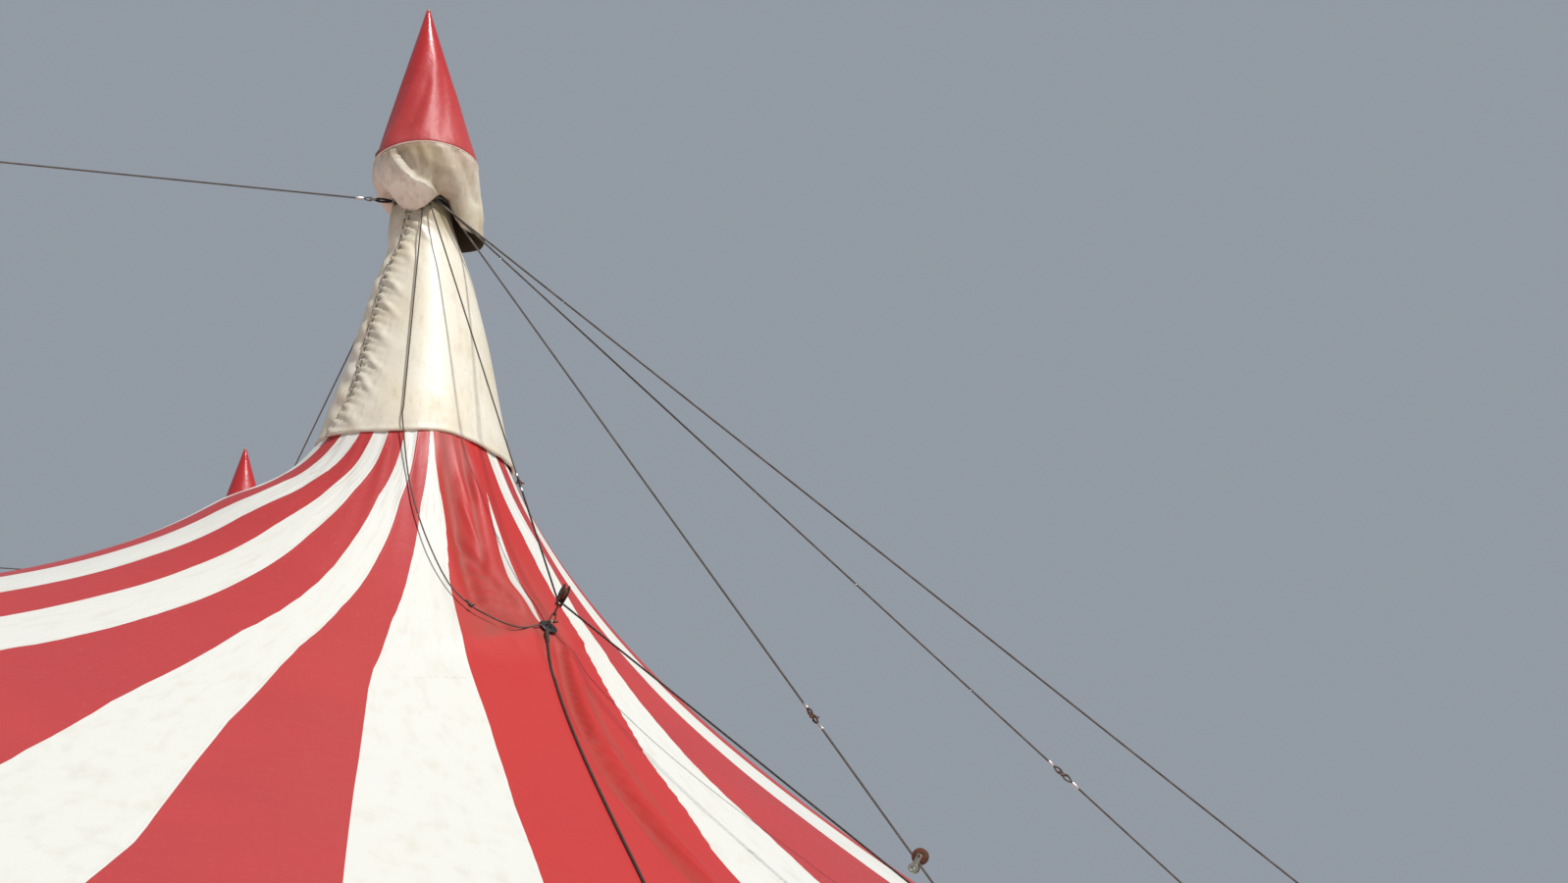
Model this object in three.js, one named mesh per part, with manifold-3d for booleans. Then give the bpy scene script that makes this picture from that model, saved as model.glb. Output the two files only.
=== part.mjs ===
// A four-mast circus big top. Millimetres, +Z up, origin on the ground at the middle of the tent.
// Everything is made once for the mast at +X, -Y and turned by quarter turns for the other three.
import * as THREE from 'three';
import { mergeVertices } from 'three/addons/utils/BufferGeometryUtils.js';
import Module from 'manifold-3d';

const wasm = await Module();
wasm.setup();

// Overall sizes
const EAVE_RADIUS = 17000;
const EAVE_HEIGHT = 2960;
const MAST_OFFSET = 7000;
const MAST = new THREE.Vector3(MAST_OFFSET, -MAST_OFFSET, 0);
const TOUCH = 0.3;
const MERGE = 0.001;
const SMALLEST_EDGE = 0.2;

// Roof form: height falls from each mast as the logarithm of the distance, over a low crown
const ROOF_PULL = 1480;
const ROOF_CROWN = 1380;
const ROOF_THICKNESS = 30;
const ROOF_HOLE = 600;
const ROOF_COLLAR = 790;
const ROOF_ROWS = 7;
const ROOF_CROWDING = 1.8;
// Towards the tent's middle the skin sags a little just outside each cowl
const SAG_DEPTH = 300;
const SAG_TURN = (150 * Math.PI) / 180;
const SAG_START = 700;
const SAG_END = 1600;
const EDGE_DIRECTIONS = 9;
const ARC_DIRECTIONS = 18;

// Mast and what it carries, as heights above the ground and radii from the mast's axis
const MAST_RADIUS = 110;
const MAST_SIDES = 12;
const CAP_SIDES = 24;
const MAST_TOP = 11900;
const SPIKE_TOP = 12380;
const SPIKE_RADIUS = 26;
const FOOT_PLATE = 600;
const FOOT_THICKNESS = 20;
const HOIST_STOP = 9880;
const HOIST_COLLAR = 190;
const NECK_TOP = 10760;
const COLLAR_LOW = 10790;
const COLLAR_HIGH = 10815;
const COLLAR_RADIUS = 250;
const HOOP_LOW = 11206;
const HOOP_HIGH = 11218;

const CONE_TIP = 12600;
const CONE_BASE = 11200;
const CONE_RADIUS = 430;
const CONE_THICKNESS = 16;
// The skirt as radius and height: it is drawn in over the collar, and hangs free as a flap on one side
const SKIRT_TOP = [430, 11199.7];
const SKIRT_BULGE = [440, 11010];
const SKIRT_DRAWN = [320, 10840];
const SKIRT_FLAP = [500, 10480];
const SKIRT_THICKNESS = 14;
const FLAP_TURN = (7 * Math.PI) / 180;
const FLAP_FULL = (30 * Math.PI) / 180;
const FLAP_END = (62 * Math.PI) / 180;

const COWL_TOP_RADIUS = 235;
const COWL_FLARE = 0.262;
const COWL_THICKNESS = 18;
const COWL_CLEARANCE = 33;
const HEM_STEPS = 16;

const BALE_TUBE = 24;
const BALE_EASE = 0.5;
const MAST_ARM = 5;
const HOIST_LEDGE = 40;
const HOIST_STOP_RADIUS = 155;
const NECK_RADIUS = 140;
const NECK_PLATE = 20;
const HOOP_WIDTH = 34;
const WIRE_RADIUS = 8;
const WIRE_FLAT = WIRE_RADIUS * Math.cos(Math.PI / 6);
const FITTING_RADIUS = 22;
const GUY_SHEAVE_RADIUS = 50;
const GUY_SHEAVE_HALF = 20;
const SHEAVE_RADIUS = 55;
const LIFT_ROPE = 9;
const LIFT_FITTING_HALF = 60;
const HOLD_DOWN_ROPE = 12;
const HOLD_DOWN_LIFT = 36;
const SLACK_LINE = 6;
const SLACK_LIFT = 21;
const ROPE_END = 3;

// Ground and roof points of the first mast's rigging, from the middle of the tent, and the directions of
// its lugs on the collar. A guy's fitting and sheave sit at shares of the way from the mast to the stake,
// or to the point where it crosses the eave.
const GUYS = [
  { stake: [19100, -11200], lug: -1.44 },
  { stake: [17700, -10400], lug: -1.274, fitting: [0.455, 0.476] },
  { stake: [10900, -15560], lug: 0.087, over: [10030, -13790], fitting: [0.654, 0.681], sheave: 0.81 },
];
const LIFT_LUG = -1.553;
const LIFT_FITTING_SHARE = 0.73;
const RING_PLATE = [7800, -8830];
const PLATE_RADIUS = 75;
const PLATE_SIDES = 8;
const RIM_LEAD = 45;
const BLOCK_REACH = new THREE.Vector3(101, -58, 253);
const LIFT_EAVE = [11130, -12890];
const LIFT_STAKE = [11530, -13390];
const SLACK_LUG = -1.658;
const SLACK_HEM = { radius: 824, angle: -1.833, height: 8665 };
const HOLD_DOWN_ROUTE = [[7740, -9300], [7730, -10540], [7710, -12340], [7600, -14000], [7500, -15200]];
const SLACK_ROUTE = [[6810, -8020], [6840, -8280], [6910, -8570], [7020, -8840], [7160, -9020],
  [7290, -9080], [7420, -9090], [7560, -9040]];
const STAKE_RING = 19000;
const STAKE_RADIUS = 20;
const STAKE_HEIGHT = 260;
const TIE_HEIGHT = 215;

// Eave, side poles and wall
const EAVE_ROPE = 15;
const EAVE_PASS = 45;
const GUY_PASS = 110;
const STRAP_RADIUS = 9;
const STRAP_STEP = 25;
const STRAP_RAISE = 4;
const POLE_RADIUS = 30;
const RAIL_TUBE = 14;
const RAIL_HEIGHT = 2860;
const WALL_THICKNESS = 20;
const WALL_TOP = 2890;

const finish = {
  red: [0xb8403c, 0.45, 0], white: [0xeeece4, 0.5, 0], cone: [0xb4262a, 0.3, 0],
  cream: [0xd8cfb4, 0.6, 0], steel: [0x8e9092, 0.45, 0.8], wire: [0x4a4440, 0.6, 0.6],
  rope: [0x3a3532, 0.85, 0],
};

function material(name) {
  const [color, roughness, metalness] = finish[name];
  return new THREE.MeshStandardMaterial({ color, roughness, metalness });
}

// Height of the roof's outer skin: four mast peaks, each cancelled at the eave by its mirror image
function roofHeight(x, y) {
  let z = EAVE_HEIGHT + ROOF_CROWN * (1 - (x * x + y * y) / EAVE_RADIUS ** 2);
  const axis = MAST_OFFSET * Math.SQRT2;
  const mirror = MAST_OFFSET * (EAVE_RADIUS / axis) ** 2;
  [[1, -1], [1, 1], [-1, 1], [-1, -1]].forEach(([sx, sy], turns) => {
    const dx = x - sx * MAST_OFFSET;
    const dy = y - sy * MAST_OFFSET;
    const near = Math.hypot(dx, dy);
    const far = Math.hypot(x - sx * mirror, y - sy * mirror);
    z += ROOF_PULL * Math.log((far * axis) / (EAVE_RADIUS * near));
    const facing = (1 + Math.cos(Math.atan2(dy, dx) - SAG_TURN - (turns * Math.PI) / 2)) / 2;
    z -= SAG_DEPTH * facing ** 2 * (1 - THREE.MathUtils.smoothstep(near, SAG_START, SAG_END));
  });
  return z;
}

// Joins a row of equal closed sections into one solid, either as a loop or with flat ends
function loft(sections, loop) {
  const positions = sections.flat().flatMap((p) => [p.x, p.y, p.z]);
  const count = sections[0].length;
  const index = [];
  const spans = loop ? sections.length : sections.length - 1;
  for (let i = 0; i < spans; i += 1) {
    const a = i * count;
    const b = ((i + 1) % sections.length) * count;
    for (let j = 0; j < count; j += 1) {
      const k = (j + 1) % count;
      index.push(a + j, b + j, b + k, a + j, b + k, a + k);
    }
  }
  if (!loop) {
    const last = (sections.length - 1) * count;
    for (let j = 1; j < count - 1; j += 1) {
      index.push(0, j, j + 1, last, last + j + 1, last + j);
    }
  }
  const geometry = new THREE.BufferGeometry();
  geometry.setAttribute('position', new THREE.Float32BufferAttribute(positions, 3));
  geometry.setIndex(signedVolume(geometry, index) > 0 ? index : index.reverse());
  return geometry;
}

function signedVolume(geometry, index) {
  const at = (i) => new THREE.Vector3().fromBufferAttribute(geometry.attributes.position, i);
  let sum = 0;
  for (let i = 0; i < index.length; i += 3) {
    sum += at(index[i]).dot(at(index[i + 1]).cross(at(index[i + 2])));
  }
  return sum;
}

function toSolid(geometry) {
  const bare = geometry.clone();
  bare.deleteAttribute('normal');
  bare.deleteAttribute('uv');
  const merged = mergeVertices(bare, MERGE);
  return new wasm.Manifold(new wasm.Mesh({
    numProp: 3,
    vertProperties: Float32Array.from(merged.attributes.position.array),
    triVerts: Uint32Array.from(merged.index.array),
  }));
}

function toGeometry(solid) {
  const mesh = solid.getMesh();
  const geometry = new THREE.BufferGeometry();
  geometry.setAttribute('position', new THREE.Float32BufferAttribute(mesh.vertProperties, 3));
  geometry.setIndex(Array.from(mesh.triVerts));
  return withoutSlivers(mergeVertices(geometry, SMALLEST_EDGE));
}

// Drops the faces that merging left with no area
function withoutSlivers(geometry) {
  const index = Array.from(geometry.index.array);
  const kept = [];
  for (let i = 0; i < index.length; i += 3) {
    const [a, b, c] = index.slice(i, i + 3);
    if (a !== b && b !== c && c !== a) kept.push(a, b, c);
  }
  geometry.setIndex(signedVolume(geometry, kept) > 0 ? kept : kept.reverse());
  return geometry;
}

function join(geometries) {
  return toGeometry(geometries.map(toSolid).reduce((all, next) => all.add(next)));
}

// A round bar from one point to another, which may taper
function bar(from, to, radius, sides = 6, endRadius = radius) {
  const along = new THREE.Vector3().subVectors(to, from);
  const geometry = new THREE.CylinderGeometry(endRadius, radius, along.length(), sides);
  geometry.translate(0, along.length() / 2, 0);
  const turn = new THREE.Quaternion().setFromUnitVectors(new THREE.Vector3(0, 1, 0), along.normalize());
  return geometry.applyQuaternion(turn).translate(from.x, from.y, from.z);
}

// An upright disc or pipe about the mast's axis
function drum(radius, low, high, sides = MAST_SIDES) {
  const geometry = new THREE.CylinderGeometry(radius, radius, high - low, sides);
  return geometry.rotateX(Math.PI / 2).translate(MAST.x, MAST.y, (low + high) / 2);
}

// A ring about the mast's axis from a closed outline of [radius, height] pairs
function lathe(outline, sides) {
  const points = [...outline, outline[0]].map(([r, z]) => new THREE.Vector2(r, z));
  const geometry = new THREE.LatheGeometry(points, sides).rotateX(Math.PI / 2);
  geometry.translate(MAST.x, MAST.y, 0);
  geometry.deleteAttribute('normal');
  geometry.deleteAttribute('uv');
  return withoutSlivers(mergeVertices(geometry, MERGE));
}

// A rope through a list of points, mitred at each bend
function rope(points, radius, sides = 6) {
  const last = points.length - 1;
  const way = (i) => new THREE.Vector3().subVectors(points[i + 1], points[i]).normalize();
  const side = way(0).cross(new THREE.Vector3(0, 0, 1)).normalize();
  const sections = points.map((point, i) => {
    const along = way(Math.max(i - 1, 0)).add(way(Math.min(i, last - 1))).normalize();
    side.addScaledVector(along, -side.dot(along)).normalize();
    const up = new THREE.Vector3().crossVectors(along, side);
    return Array.from({ length: sides }, (_, j) => {
      const turn = (j * 2 * Math.PI) / sides;
      const rim = point.clone().addScaledVector(side, radius * Math.cos(turn));
      return rim.addScaledVector(up, radius * Math.sin(turn));
    });
  });
  return loft(sections, false);
}

function aroundMast(radius, angle, z) {
  return new THREE.Vector3(MAST.x + radius * Math.cos(angle), MAST.y + radius * Math.sin(angle), z);
}

// Point where a ray from the mast leaves its quarter of the round plan
function quarterEdge(angle) {
  const dx = Math.cos(angle);
  const dy = Math.sin(angle);
  const reach = [];
  if (dx < -1e-9) reach.push((TOUCH / 2 - MAST.x) / dx);
  if (dy > 1e-9) reach.push((-TOUCH / 2 - MAST.y) / dy);
  const half = MAST.x * dx + MAST.y * dy;
  reach.push(-half + Math.sqrt(half * half + EAVE_RADIUS ** 2 - MAST.x ** 2 - MAST.y ** 2));
  return Math.min(...reach);
}

// Directions from the mast to the quarter's outline, with a ray to each of its three corners
function roofDirections() {
  const corner = (x, y) => Math.atan2(y - MAST.y, x - MAST.x);
  const gap = TOUCH / 2;
  const reach = Math.sqrt(EAVE_RADIUS ** 2 - gap ** 2);
  const right = corner(reach, -gap);
  const middle = corner(gap, -gap);
  const front = corner(gap, -reach) + 2 * Math.PI;
  const angles = [];
  const divide = (from, to, count) => {
    for (let i = 0; i < count; i += 1) angles.push(from + ((to - from) * i) / count);
  };
  divide(right, middle, EDGE_DIRECTIONS);
  divide(middle, front, EDGE_DIRECTIONS);
  divide(front, right + 2 * Math.PI, ARC_DIRECTIONS);
  return angles;
}

const directions = roofDirections();
const arcDirections = [...directions.slice(2 * EDGE_DIRECTIONS), directions[0] + 2 * Math.PI];
const arcPoints = arcDirections.map((a) => aroundMast(quarterEdge(a), a, 0));

function roofQuarter() {
  const sections = directions.map((angle) => {
    const far = quarterEdge(angle);
    const radii = [ROOF_HOLE];
    for (let k = 0; k < ROOF_ROWS; k += 1) {
      radii.push(ROOF_COLLAR + (far - ROOF_COLLAR) * (k / (ROOF_ROWS - 1)) ** ROOF_CROWDING);
    }
    const top = radii.map((r) => {
      const p = aroundMast(r, angle, 0);
      return p.setZ(roofHeight(p.x, p.y));
    });
    const under = top.map((p) => p.clone().setZ(p.z - ROOF_THICKNESS)).reverse();
    return [...top, ...under];
  });
  return loft(sections, true);
}

const roofGeometry = roofQuarter();

// Height of the flat-faced roof skin at a point, for what lies on it
function skinHeight(x, y) {
  const roof = new THREE.Mesh(roofGeometry, new THREE.MeshBasicMaterial());
  const ray = new THREE.Raycaster(new THREE.Vector3(x, y, CONE_TIP), new THREE.Vector3(0, 0, -1));
  return ray.intersectObject(roof)[0];
}

function kingPole() {
  const hoopInner = coneInside(HOOP_HIGH) - TOUCH - HOOP_WIDTH;
  const pieces = [
    new THREE.BoxGeometry(FOOT_PLATE, FOOT_PLATE, FOOT_THICKNESS)
      .translate(MAST.x, MAST.y, FOOT_THICKNESS / 2),
    drum(MAST_RADIUS, FOOT_THICKNESS - 1, MAST_TOP),
    drum(SPIKE_RADIUS, MAST_TOP - 1, SPIKE_TOP, 8),
    drum(HOIST_STOP_RADIUS, HOIST_STOP - HOIST_LEDGE, HOIST_STOP - TOUCH),
    drum(cowlInside(NECK_TOP) - TOUCH, NECK_TOP - NECK_PLATE, NECK_TOP, CAP_SIDES),
    drum(NECK_RADIUS, NECK_TOP - 1, COLLAR_LOW - TOUCH),
    lathe([[hoopInner, HOOP_LOW], [coneInside(HOOP_HIGH) - TOUCH, HOOP_LOW],
      [coneInside(HOOP_HIGH) - TOUCH, HOOP_HIGH], [hoopInner, HOOP_HIGH]], CAP_SIDES),
  ];
  for (let i = 0; i < 4; i += 1) {
    const angle = (i * Math.PI) / 2;
    const z = (HOOP_LOW + HOOP_HIGH) / 2;
    const from = aroundMast(MAST_RADIUS / 2, angle, z);
    pieces.push(bar(from, aroundMast(hoopInner + HOOP_WIDTH / 2, angle, z), MAST_ARM, 4));
  }
  return join(pieces);
}

function coneInside(z) {
  return ((CONE_TIP - z) * CONE_RADIUS) / (CONE_TIP - CONE_BASE) - CONE_THICKNESS;
}

function capCone() {
  const inner = CONE_RADIUS - CONE_THICKNESS;
  const innerTip = CONE_BASE + (inner * (CONE_TIP - CONE_BASE)) / CONE_RADIUS;
  const outline = [[0, CONE_TIP], [CONE_RADIUS, CONE_BASE], [inner, CONE_BASE], [0, innerTip]];
  return lathe(outline, CAP_SIDES);
}

function capSkirt() {
  const sections = [];
  for (let i = 0; i < CAP_SIDES; i += 1) {
    const angle = (i * 2 * Math.PI) / CAP_SIDES;
    const off = Math.acos(Math.cos(angle - FLAP_TURN));
    const free = 1 - THREE.MathUtils.smoothstep(off, FLAP_FULL, FLAP_END);
    const hem = SKIRT_DRAWN.map((value, k) => value + (SKIRT_FLAP[k] - value) * free);
    const outline = [SKIRT_TOP, SKIRT_BULGE, hem];
    const outer = outline.map(([r, z]) => aroundMast(r, angle, z));
    const inner = outline.map(([r, z]) => aroundMast(r - SKIRT_THICKNESS, angle, z)).reverse();
    sections.push([...outer, ...inner]);
  }
  return loft(sections, true);
}

function cowlRadius(z) {
  return COWL_TOP_RADIUS + COWL_FLARE * (NECK_TOP - z);
}

function cowlInside(z) {
  return cowlRadius(z) - COWL_THICKNESS;
}

// A flared sleeve whose hem follows the roof round the mast
function cowl() {
  const sections = [];
  for (let i = 0; i < CAP_SIDES; i += 1) {
    const angle = (i * 2 * Math.PI) / CAP_SIDES;
    let hem = HOIST_STOP;
    for (let step = 0; step < HEM_STEPS; step += 1) {
      const p = aroundMast(cowlInside(hem), angle, 0);
      hem = roofHeight(p.x, p.y) + COWL_CLEARANCE;
    }
    const heights = [0, 0.5, 1].map((t) => NECK_TOP + (hem - NECK_TOP) * t);
    const outer = heights.map((z) => aroundMast(cowlRadius(z), angle, z));
    const inner = heights.map((z) => aroundMast(cowlInside(z), angle, z)).reverse();
    sections.push([...outer, ...inner]);
  }
  return loft(sections, true);
}

// The hoisted ring that holds the roof's inner edge, with its four hangers and the collar on the mast
function baleRing() {
  const sides = 16;
  const tubeSides = 4;
  const widestStep = (directions[EDGE_DIRECTIONS] - directions[0]) / EDGE_DIRECTIONS;
  const holeInside = ROOF_HOLE * Math.cos(widestStep / 2);
  const centre = holeInside + BALE_EASE - BALE_TUBE;
  const height = (angle) => {
    const p = aroundMast(ROOF_HOLE, angle, 0);
    return roofHeight(p.x, p.y) - ROOF_THICKNESS / 2;
  };
  const sections = [];
  for (let i = 0; i < sides; i += 1) {
    const angle = (i * 2 * Math.PI) / sides;
    const section = [];
    for (let j = 0; j < tubeSides; j += 1) {
      const turn = (j * 2 * Math.PI) / tubeSides;
      const z = height(angle) + BALE_TUBE * Math.sin(turn);
      section.push(aroundMast(centre + BALE_TUBE * Math.cos(turn), angle, z));
    }
    sections.push(section);
  }
  const pieces = [loft(sections, true)];
  pieces.push(lathe([[MAST_RADIUS + TOUCH, HOIST_STOP], [HOIST_COLLAR, HOIST_STOP],
    [HOIST_COLLAR, HOIST_STOP + HOIST_LEDGE], [MAST_RADIUS + TOUCH, HOIST_STOP + HOIST_LEDGE]], MAST_SIDES));
  for (let i = 0; i < 4; i += 1) {
    const angle = (i * Math.PI) / 2;
    pieces.push(bar(aroundMast(centre, angle, height(angle)),
      aroundMast(HOIST_COLLAR - 12, angle, HOIST_STOP + HOIST_LEDGE / 2), WIRE_RADIUS, 4));
  }
  return join(pieces);
}

// An iron stake driven in upright, as much of it as stands above the ground
function stake(x, y) {
  return bar(new THREE.Vector3(x, y, 0), new THREE.Vector3(x, y, STAKE_HEIGHT), STAKE_RADIUS);
}

// Collar on the mast's neck, three wire guys down to their stakes, and the tie to the next mast
function mastGuys() {
  const z = (COLLAR_LOW + COLLAR_HIGH) / 2;
  const pieces = [lathe([[MAST_RADIUS + TOUCH, COLLAR_LOW], [COLLAR_RADIUS, COLLAR_LOW],
    [COLLAR_RADIUS, COLLAR_HIGH], [MAST_RADIUS + TOUCH, COLLAR_HIGH]], MAST_SIDES)];
  for (const guy of GUYS) {
    const [x, y] = guy.stake;
    const top = aroundMast(COLLAR_RADIUS - 20, guy.lug, z);
    const low = new THREE.Vector3(x, y, TIE_HEIGHT);
    const bend = guy.over ? [new THREE.Vector3(...guy.over, EAVE_HEIGHT + GUY_PASS)] : [];
    const end = bend[0] ?? low;
    const at = (t) => new THREE.Vector3().lerpVectors(top, end, t);
    pieces.push(rope([top, ...bend, low], WIRE_RADIUS, 5), stake(x, y));
    if (guy.fitting) pieces.push(bar(at(guy.fitting[0]), at(guy.fitting[1]), FITTING_RADIUS, 5));
    if (guy.sheave) {
      const centre = at(guy.sheave);
      const side = new THREE.Vector3().subVectors(end, top).cross(new THREE.Vector3(0, 0, 1));
      side.setLength(GUY_SHEAVE_HALF);
      pieces.push(bar(centre.clone().sub(side), centre.clone().add(side), GUY_SHEAVE_RADIUS, 8));
    }
  }
  const tieEnd = -MAST_OFFSET + COLLAR_RADIUS + TOUCH;
  pieces.push(bar(new THREE.Vector3(MAST.x - COLLAR_RADIUS + 20, MAST.y, z),
    new THREE.Vector3(tieEnd, MAST.y, z), WIRE_RADIUS));
  return join(pieces);
}

const plateHit = skinHeight(...RING_PLATE);
const plateCentre = plateHit.point.clone().addScaledVector(plateHit.face.normal, plateSeat() + TOUCH);
const blockCentre = plateHit.point.clone().add(BLOCK_REACH);

// How far the folds of the skin under the ring plate stand above the plane that it lies in
function plateSeat() {
  let highest = 0;
  const rays = 48;
  for (let i = 0; i < 4 * rays; i += 1) {
    const reach = PLATE_RADIUS * (1 - Math.floor(i / rays) / 4);
    const turn = (i * 2 * Math.PI) / rays;
    const x = RING_PLATE[0] + reach * Math.cos(turn);
    const y = RING_PLATE[1] + reach * Math.sin(turn);
    const offset = skinHeight(x, y).point.sub(plateHit.point).dot(plateHit.face.normal);
    highest = Math.max(highest, offset);
  }
  return highest;
}

// Steel ring plate on the roof, its shackle, and the pulley block that stands off from it
function liftBlock() {
  const plate = 14;
  const stem = { radius: 14, foot: 20, reach: 0.45 };
  const spreader = { radius: 12, half: 32 };
  const strap = { radius: 7, offset: 25 };
  const cheeks = { radius: 80, offset: 18, thickness: 8 };
  const hub = { radius: 20, width: 44 };
  const sheaveWidth = 20;
  const normal = plateHit.face.normal;
  const fork = new THREE.Vector3().lerpVectors(plateCentre, blockCentre, stem.reach);
  const axle = liftPlaneNormal();
  const beside = (point, offset) => point.clone().addScaledVector(axle, offset);
  const disc = (offset, thickness, radius) => bar(
    beside(blockCentre, offset - thickness / 2), beside(blockCentre, offset + thickness / 2), radius, 8);
  return join([
    bar(plateCentre, plateCentre.clone().addScaledVector(normal, plate), PLATE_RADIUS, PLATE_SIDES),
    bar(plateCentre.clone().addScaledVector(normal, stem.foot), fork, stem.radius, 5),
    bar(beside(fork, -spreader.half), beside(fork, spreader.half), spreader.radius, 5),
    ...[-strap.offset, strap.offset].map((offset) => bar(
      beside(fork, offset), beside(blockCentre, offset), strap.radius, 4)),
    ...[-cheeks.offset, cheeks.offset].map((offset) => disc(offset, cheeks.thickness, cheeks.radius)),
    disc(0, sheaveWidth, SHEAVE_RADIUS),
    disc(0, hub.width, hub.radius),
  ]);
}

function liftPlaneNormal() {
  const inward = new THREE.Vector3().subVectors(collarRim(LIFT_LUG, WIRE_FLAT), blockCentre);
  const outward = new THREE.Vector3().subVectors(liftEave(), blockCentre);
  return inward.cross(outward).normalize();
}

// A point beside the collar's rim where the side of a wire or line meets it
function collarRim(angle, halfWidth) {
  const side = (2 * Math.PI) / MAST_SIDES;
  const off = (((angle % side) + side) % side) - side / 2;
  const rim = (COLLAR_RADIUS * Math.cos(side / 2)) / Math.cos(off);
  return aroundMast(rim + halfWidth + TOUCH, angle, (COLLAR_LOW + COLLAR_HIGH) / 2);
}

function liftEave() {
  return new THREE.Vector3(LIFT_EAVE[0], LIFT_EAVE[1], EAVE_HEIGHT + EAVE_PASS);
}

function outwardStake(x, y) {
  const scale = STAKE_RING / Math.hypot(x, y);
  return [x * scale, y * scale];
}

// Wire in front of the cowl, its end fitting, and the rope that runs through the block and out to a stake
function liftLine() {
  const top = collarRim(LIFT_LUG, WIRE_FLAT);
  const inward = new THREE.Vector3().subVectors(top, blockCentre).normalize();
  const outward = new THREE.Vector3().subVectors(liftEave(), blockCentre).normalize();
  const away = inward.clone().add(outward).normalize().negate();
  const halfTurn = (Math.PI - inward.angleTo(outward)) / 2;
  const bend = (SHEAVE_RADIUS + LIFT_ROPE + 1) / Math.cos(halfTurn);
  const pass = blockCentre.clone().addScaledVector(away, bend);
  const down = new THREE.Vector3().subVectors(pass, top).normalize();
  const fitting = new THREE.Vector3().lerpVectors(top, pass, LIFT_FITTING_SHARE);
  const beside = (step) => fitting.clone().addScaledVector(down, step);
  const [x, y] = outwardStake(...LIFT_STAKE);
  const low = new THREE.Vector3(x, y, TIE_HEIGHT);
  return join([
    bar(top, fitting, WIRE_RADIUS),
    bar(beside(-LIFT_FITTING_HALF), beside(LIFT_FITTING_HALF), FITTING_RADIUS),
    rope([fitting, pass, liftEave(), low], LIFT_ROPE),
    stake(x, y),
  ]);
}

// The ring plate's rim face nearest to a direction: a point that a rope's end meets, and the way out
function plateRim(toward, lift) {
  const normal = plateHit.face.normal;
  const turn = new THREE.Quaternion().setFromUnitVectors(new THREE.Vector3(0, 1, 0), normal);
  const ways = Array.from({ length: PLATE_SIDES }, (_, i) => {
    const angle = ((i + 0.5) * 2 * Math.PI) / PLATE_SIDES;
    return new THREE.Vector3(Math.sin(angle), 0, Math.cos(angle)).applyQuaternion(turn);
  });
  const out = ways.reduce((best, way) => (way.dot(toward) > best.dot(toward) ? way : best));
  const reach = PLATE_RADIUS * Math.cos(Math.PI / PLATE_SIDES) + TOUCH;
  const start = plateCentre.clone().addScaledVector(out, reach).addScaledVector(normal, lift);
  return [start, start.clone().addScaledVector(out, RIM_LEAD)];
}

// Hemp rope from the ring plate down over the roof to the eave and its stake
function holdDownRope() {
  const lying = HOLD_DOWN_ROUTE.map(([x, y]) => {
    const hit = skinHeight(x, y);
    return hit.point.clone().addScaledVector(hit.face.normal, HOLD_DOWN_LIFT);
  });
  const start = plateRim(new THREE.Vector3(0, -1, -1), HOLD_DOWN_ROPE + ROPE_END);
  const edge = lying[lying.length - 1];
  const scale = (EAVE_RADIUS + EAVE_PASS) / Math.hypot(edge.x, edge.y);
  const over = new THREE.Vector3(edge.x * scale, edge.y * scale, EAVE_HEIGHT + EAVE_PASS);
  const [x, y] = outwardStake(edge.x, edge.y);
  const low = new THREE.Vector3(x, y, TIE_HEIGHT);
  return join([rope([...start, ...lying, over, low], HOLD_DOWN_ROPE), stake(x, y)]);
}

// One quarter of the eave: bolt rope, side poles with their rail, straps and stakes
function poleIndices() {
  const indices = [];
  for (let i = 1; i < ARC_DIRECTIONS; i += 2) indices.push(i);
  return indices;
}

// A bar of round section that follows the eave's chords, cut square at each end
function eaveRun(radius, height, tube, from, to, sides = 4) {
  const sections = [];
  for (let i = from; i <= to; i += 1) {
    const out = arcPoints[i].clone().normalize();
    const section = [];
    for (let j = 0; j < sides; j += 1) {
      const turn = ((j + 0.5) * 2 * Math.PI) / sides;
      const p = out.clone().multiplyScalar(radius + tube * Math.cos(turn));
      section.push(p.setZ(height + tube * Math.sin(turn)));
    }
    sections.push(section);
  }
  return loft(sections, false);
}

const ropeRadius = EAVE_RADIUS + EAVE_ROPE + TOUCH;

function eaveRigging() {
  const middle = EAVE_HEIGHT - ROOF_THICKNESS + EAVE_ROPE * Math.SQRT1_2;
  const pieces = [eaveRun(ropeRadius, middle, EAVE_ROPE, 0, ARC_DIRECTIONS)];
  const strapHeight = middle + STRAP_RAISE;
  for (const i of poleIndices()) {
    const out = arcPoints[i].clone().normalize();
    const at = (r, z) => out.clone().multiplyScalar(r).setZ(z);
    const ground = at(STAKE_RING, 0);
    const route = [at(ropeRadius, strapHeight), at(ropeRadius + POLE_RADIUS + STRAP_STEP, strapHeight),
      at(STAKE_RING, TIE_HEIGHT)];
    pieces.push(rope(route, STRAP_RADIUS, 4));
    pieces.push(stake(ground.x, ground.y));
  }
  return join(pieces);
}

function sidePoles() {
  const top = EAVE_HEIGHT - ROOF_THICKNESS - TOUCH;
  const pieces = [eaveRun(ropeRadius - POLE_RADIUS, RAIL_HEIGHT, RAIL_TUBE, 0, ARC_DIRECTIONS)];
  for (const i of poleIndices()) {
    const out = arcPoints[i].clone().normalize().multiplyScalar(ropeRadius);
    pieces.push(bar(out.clone(), out.clone().setZ(top), POLE_RADIUS));
  }
  return join(pieces);
}

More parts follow.
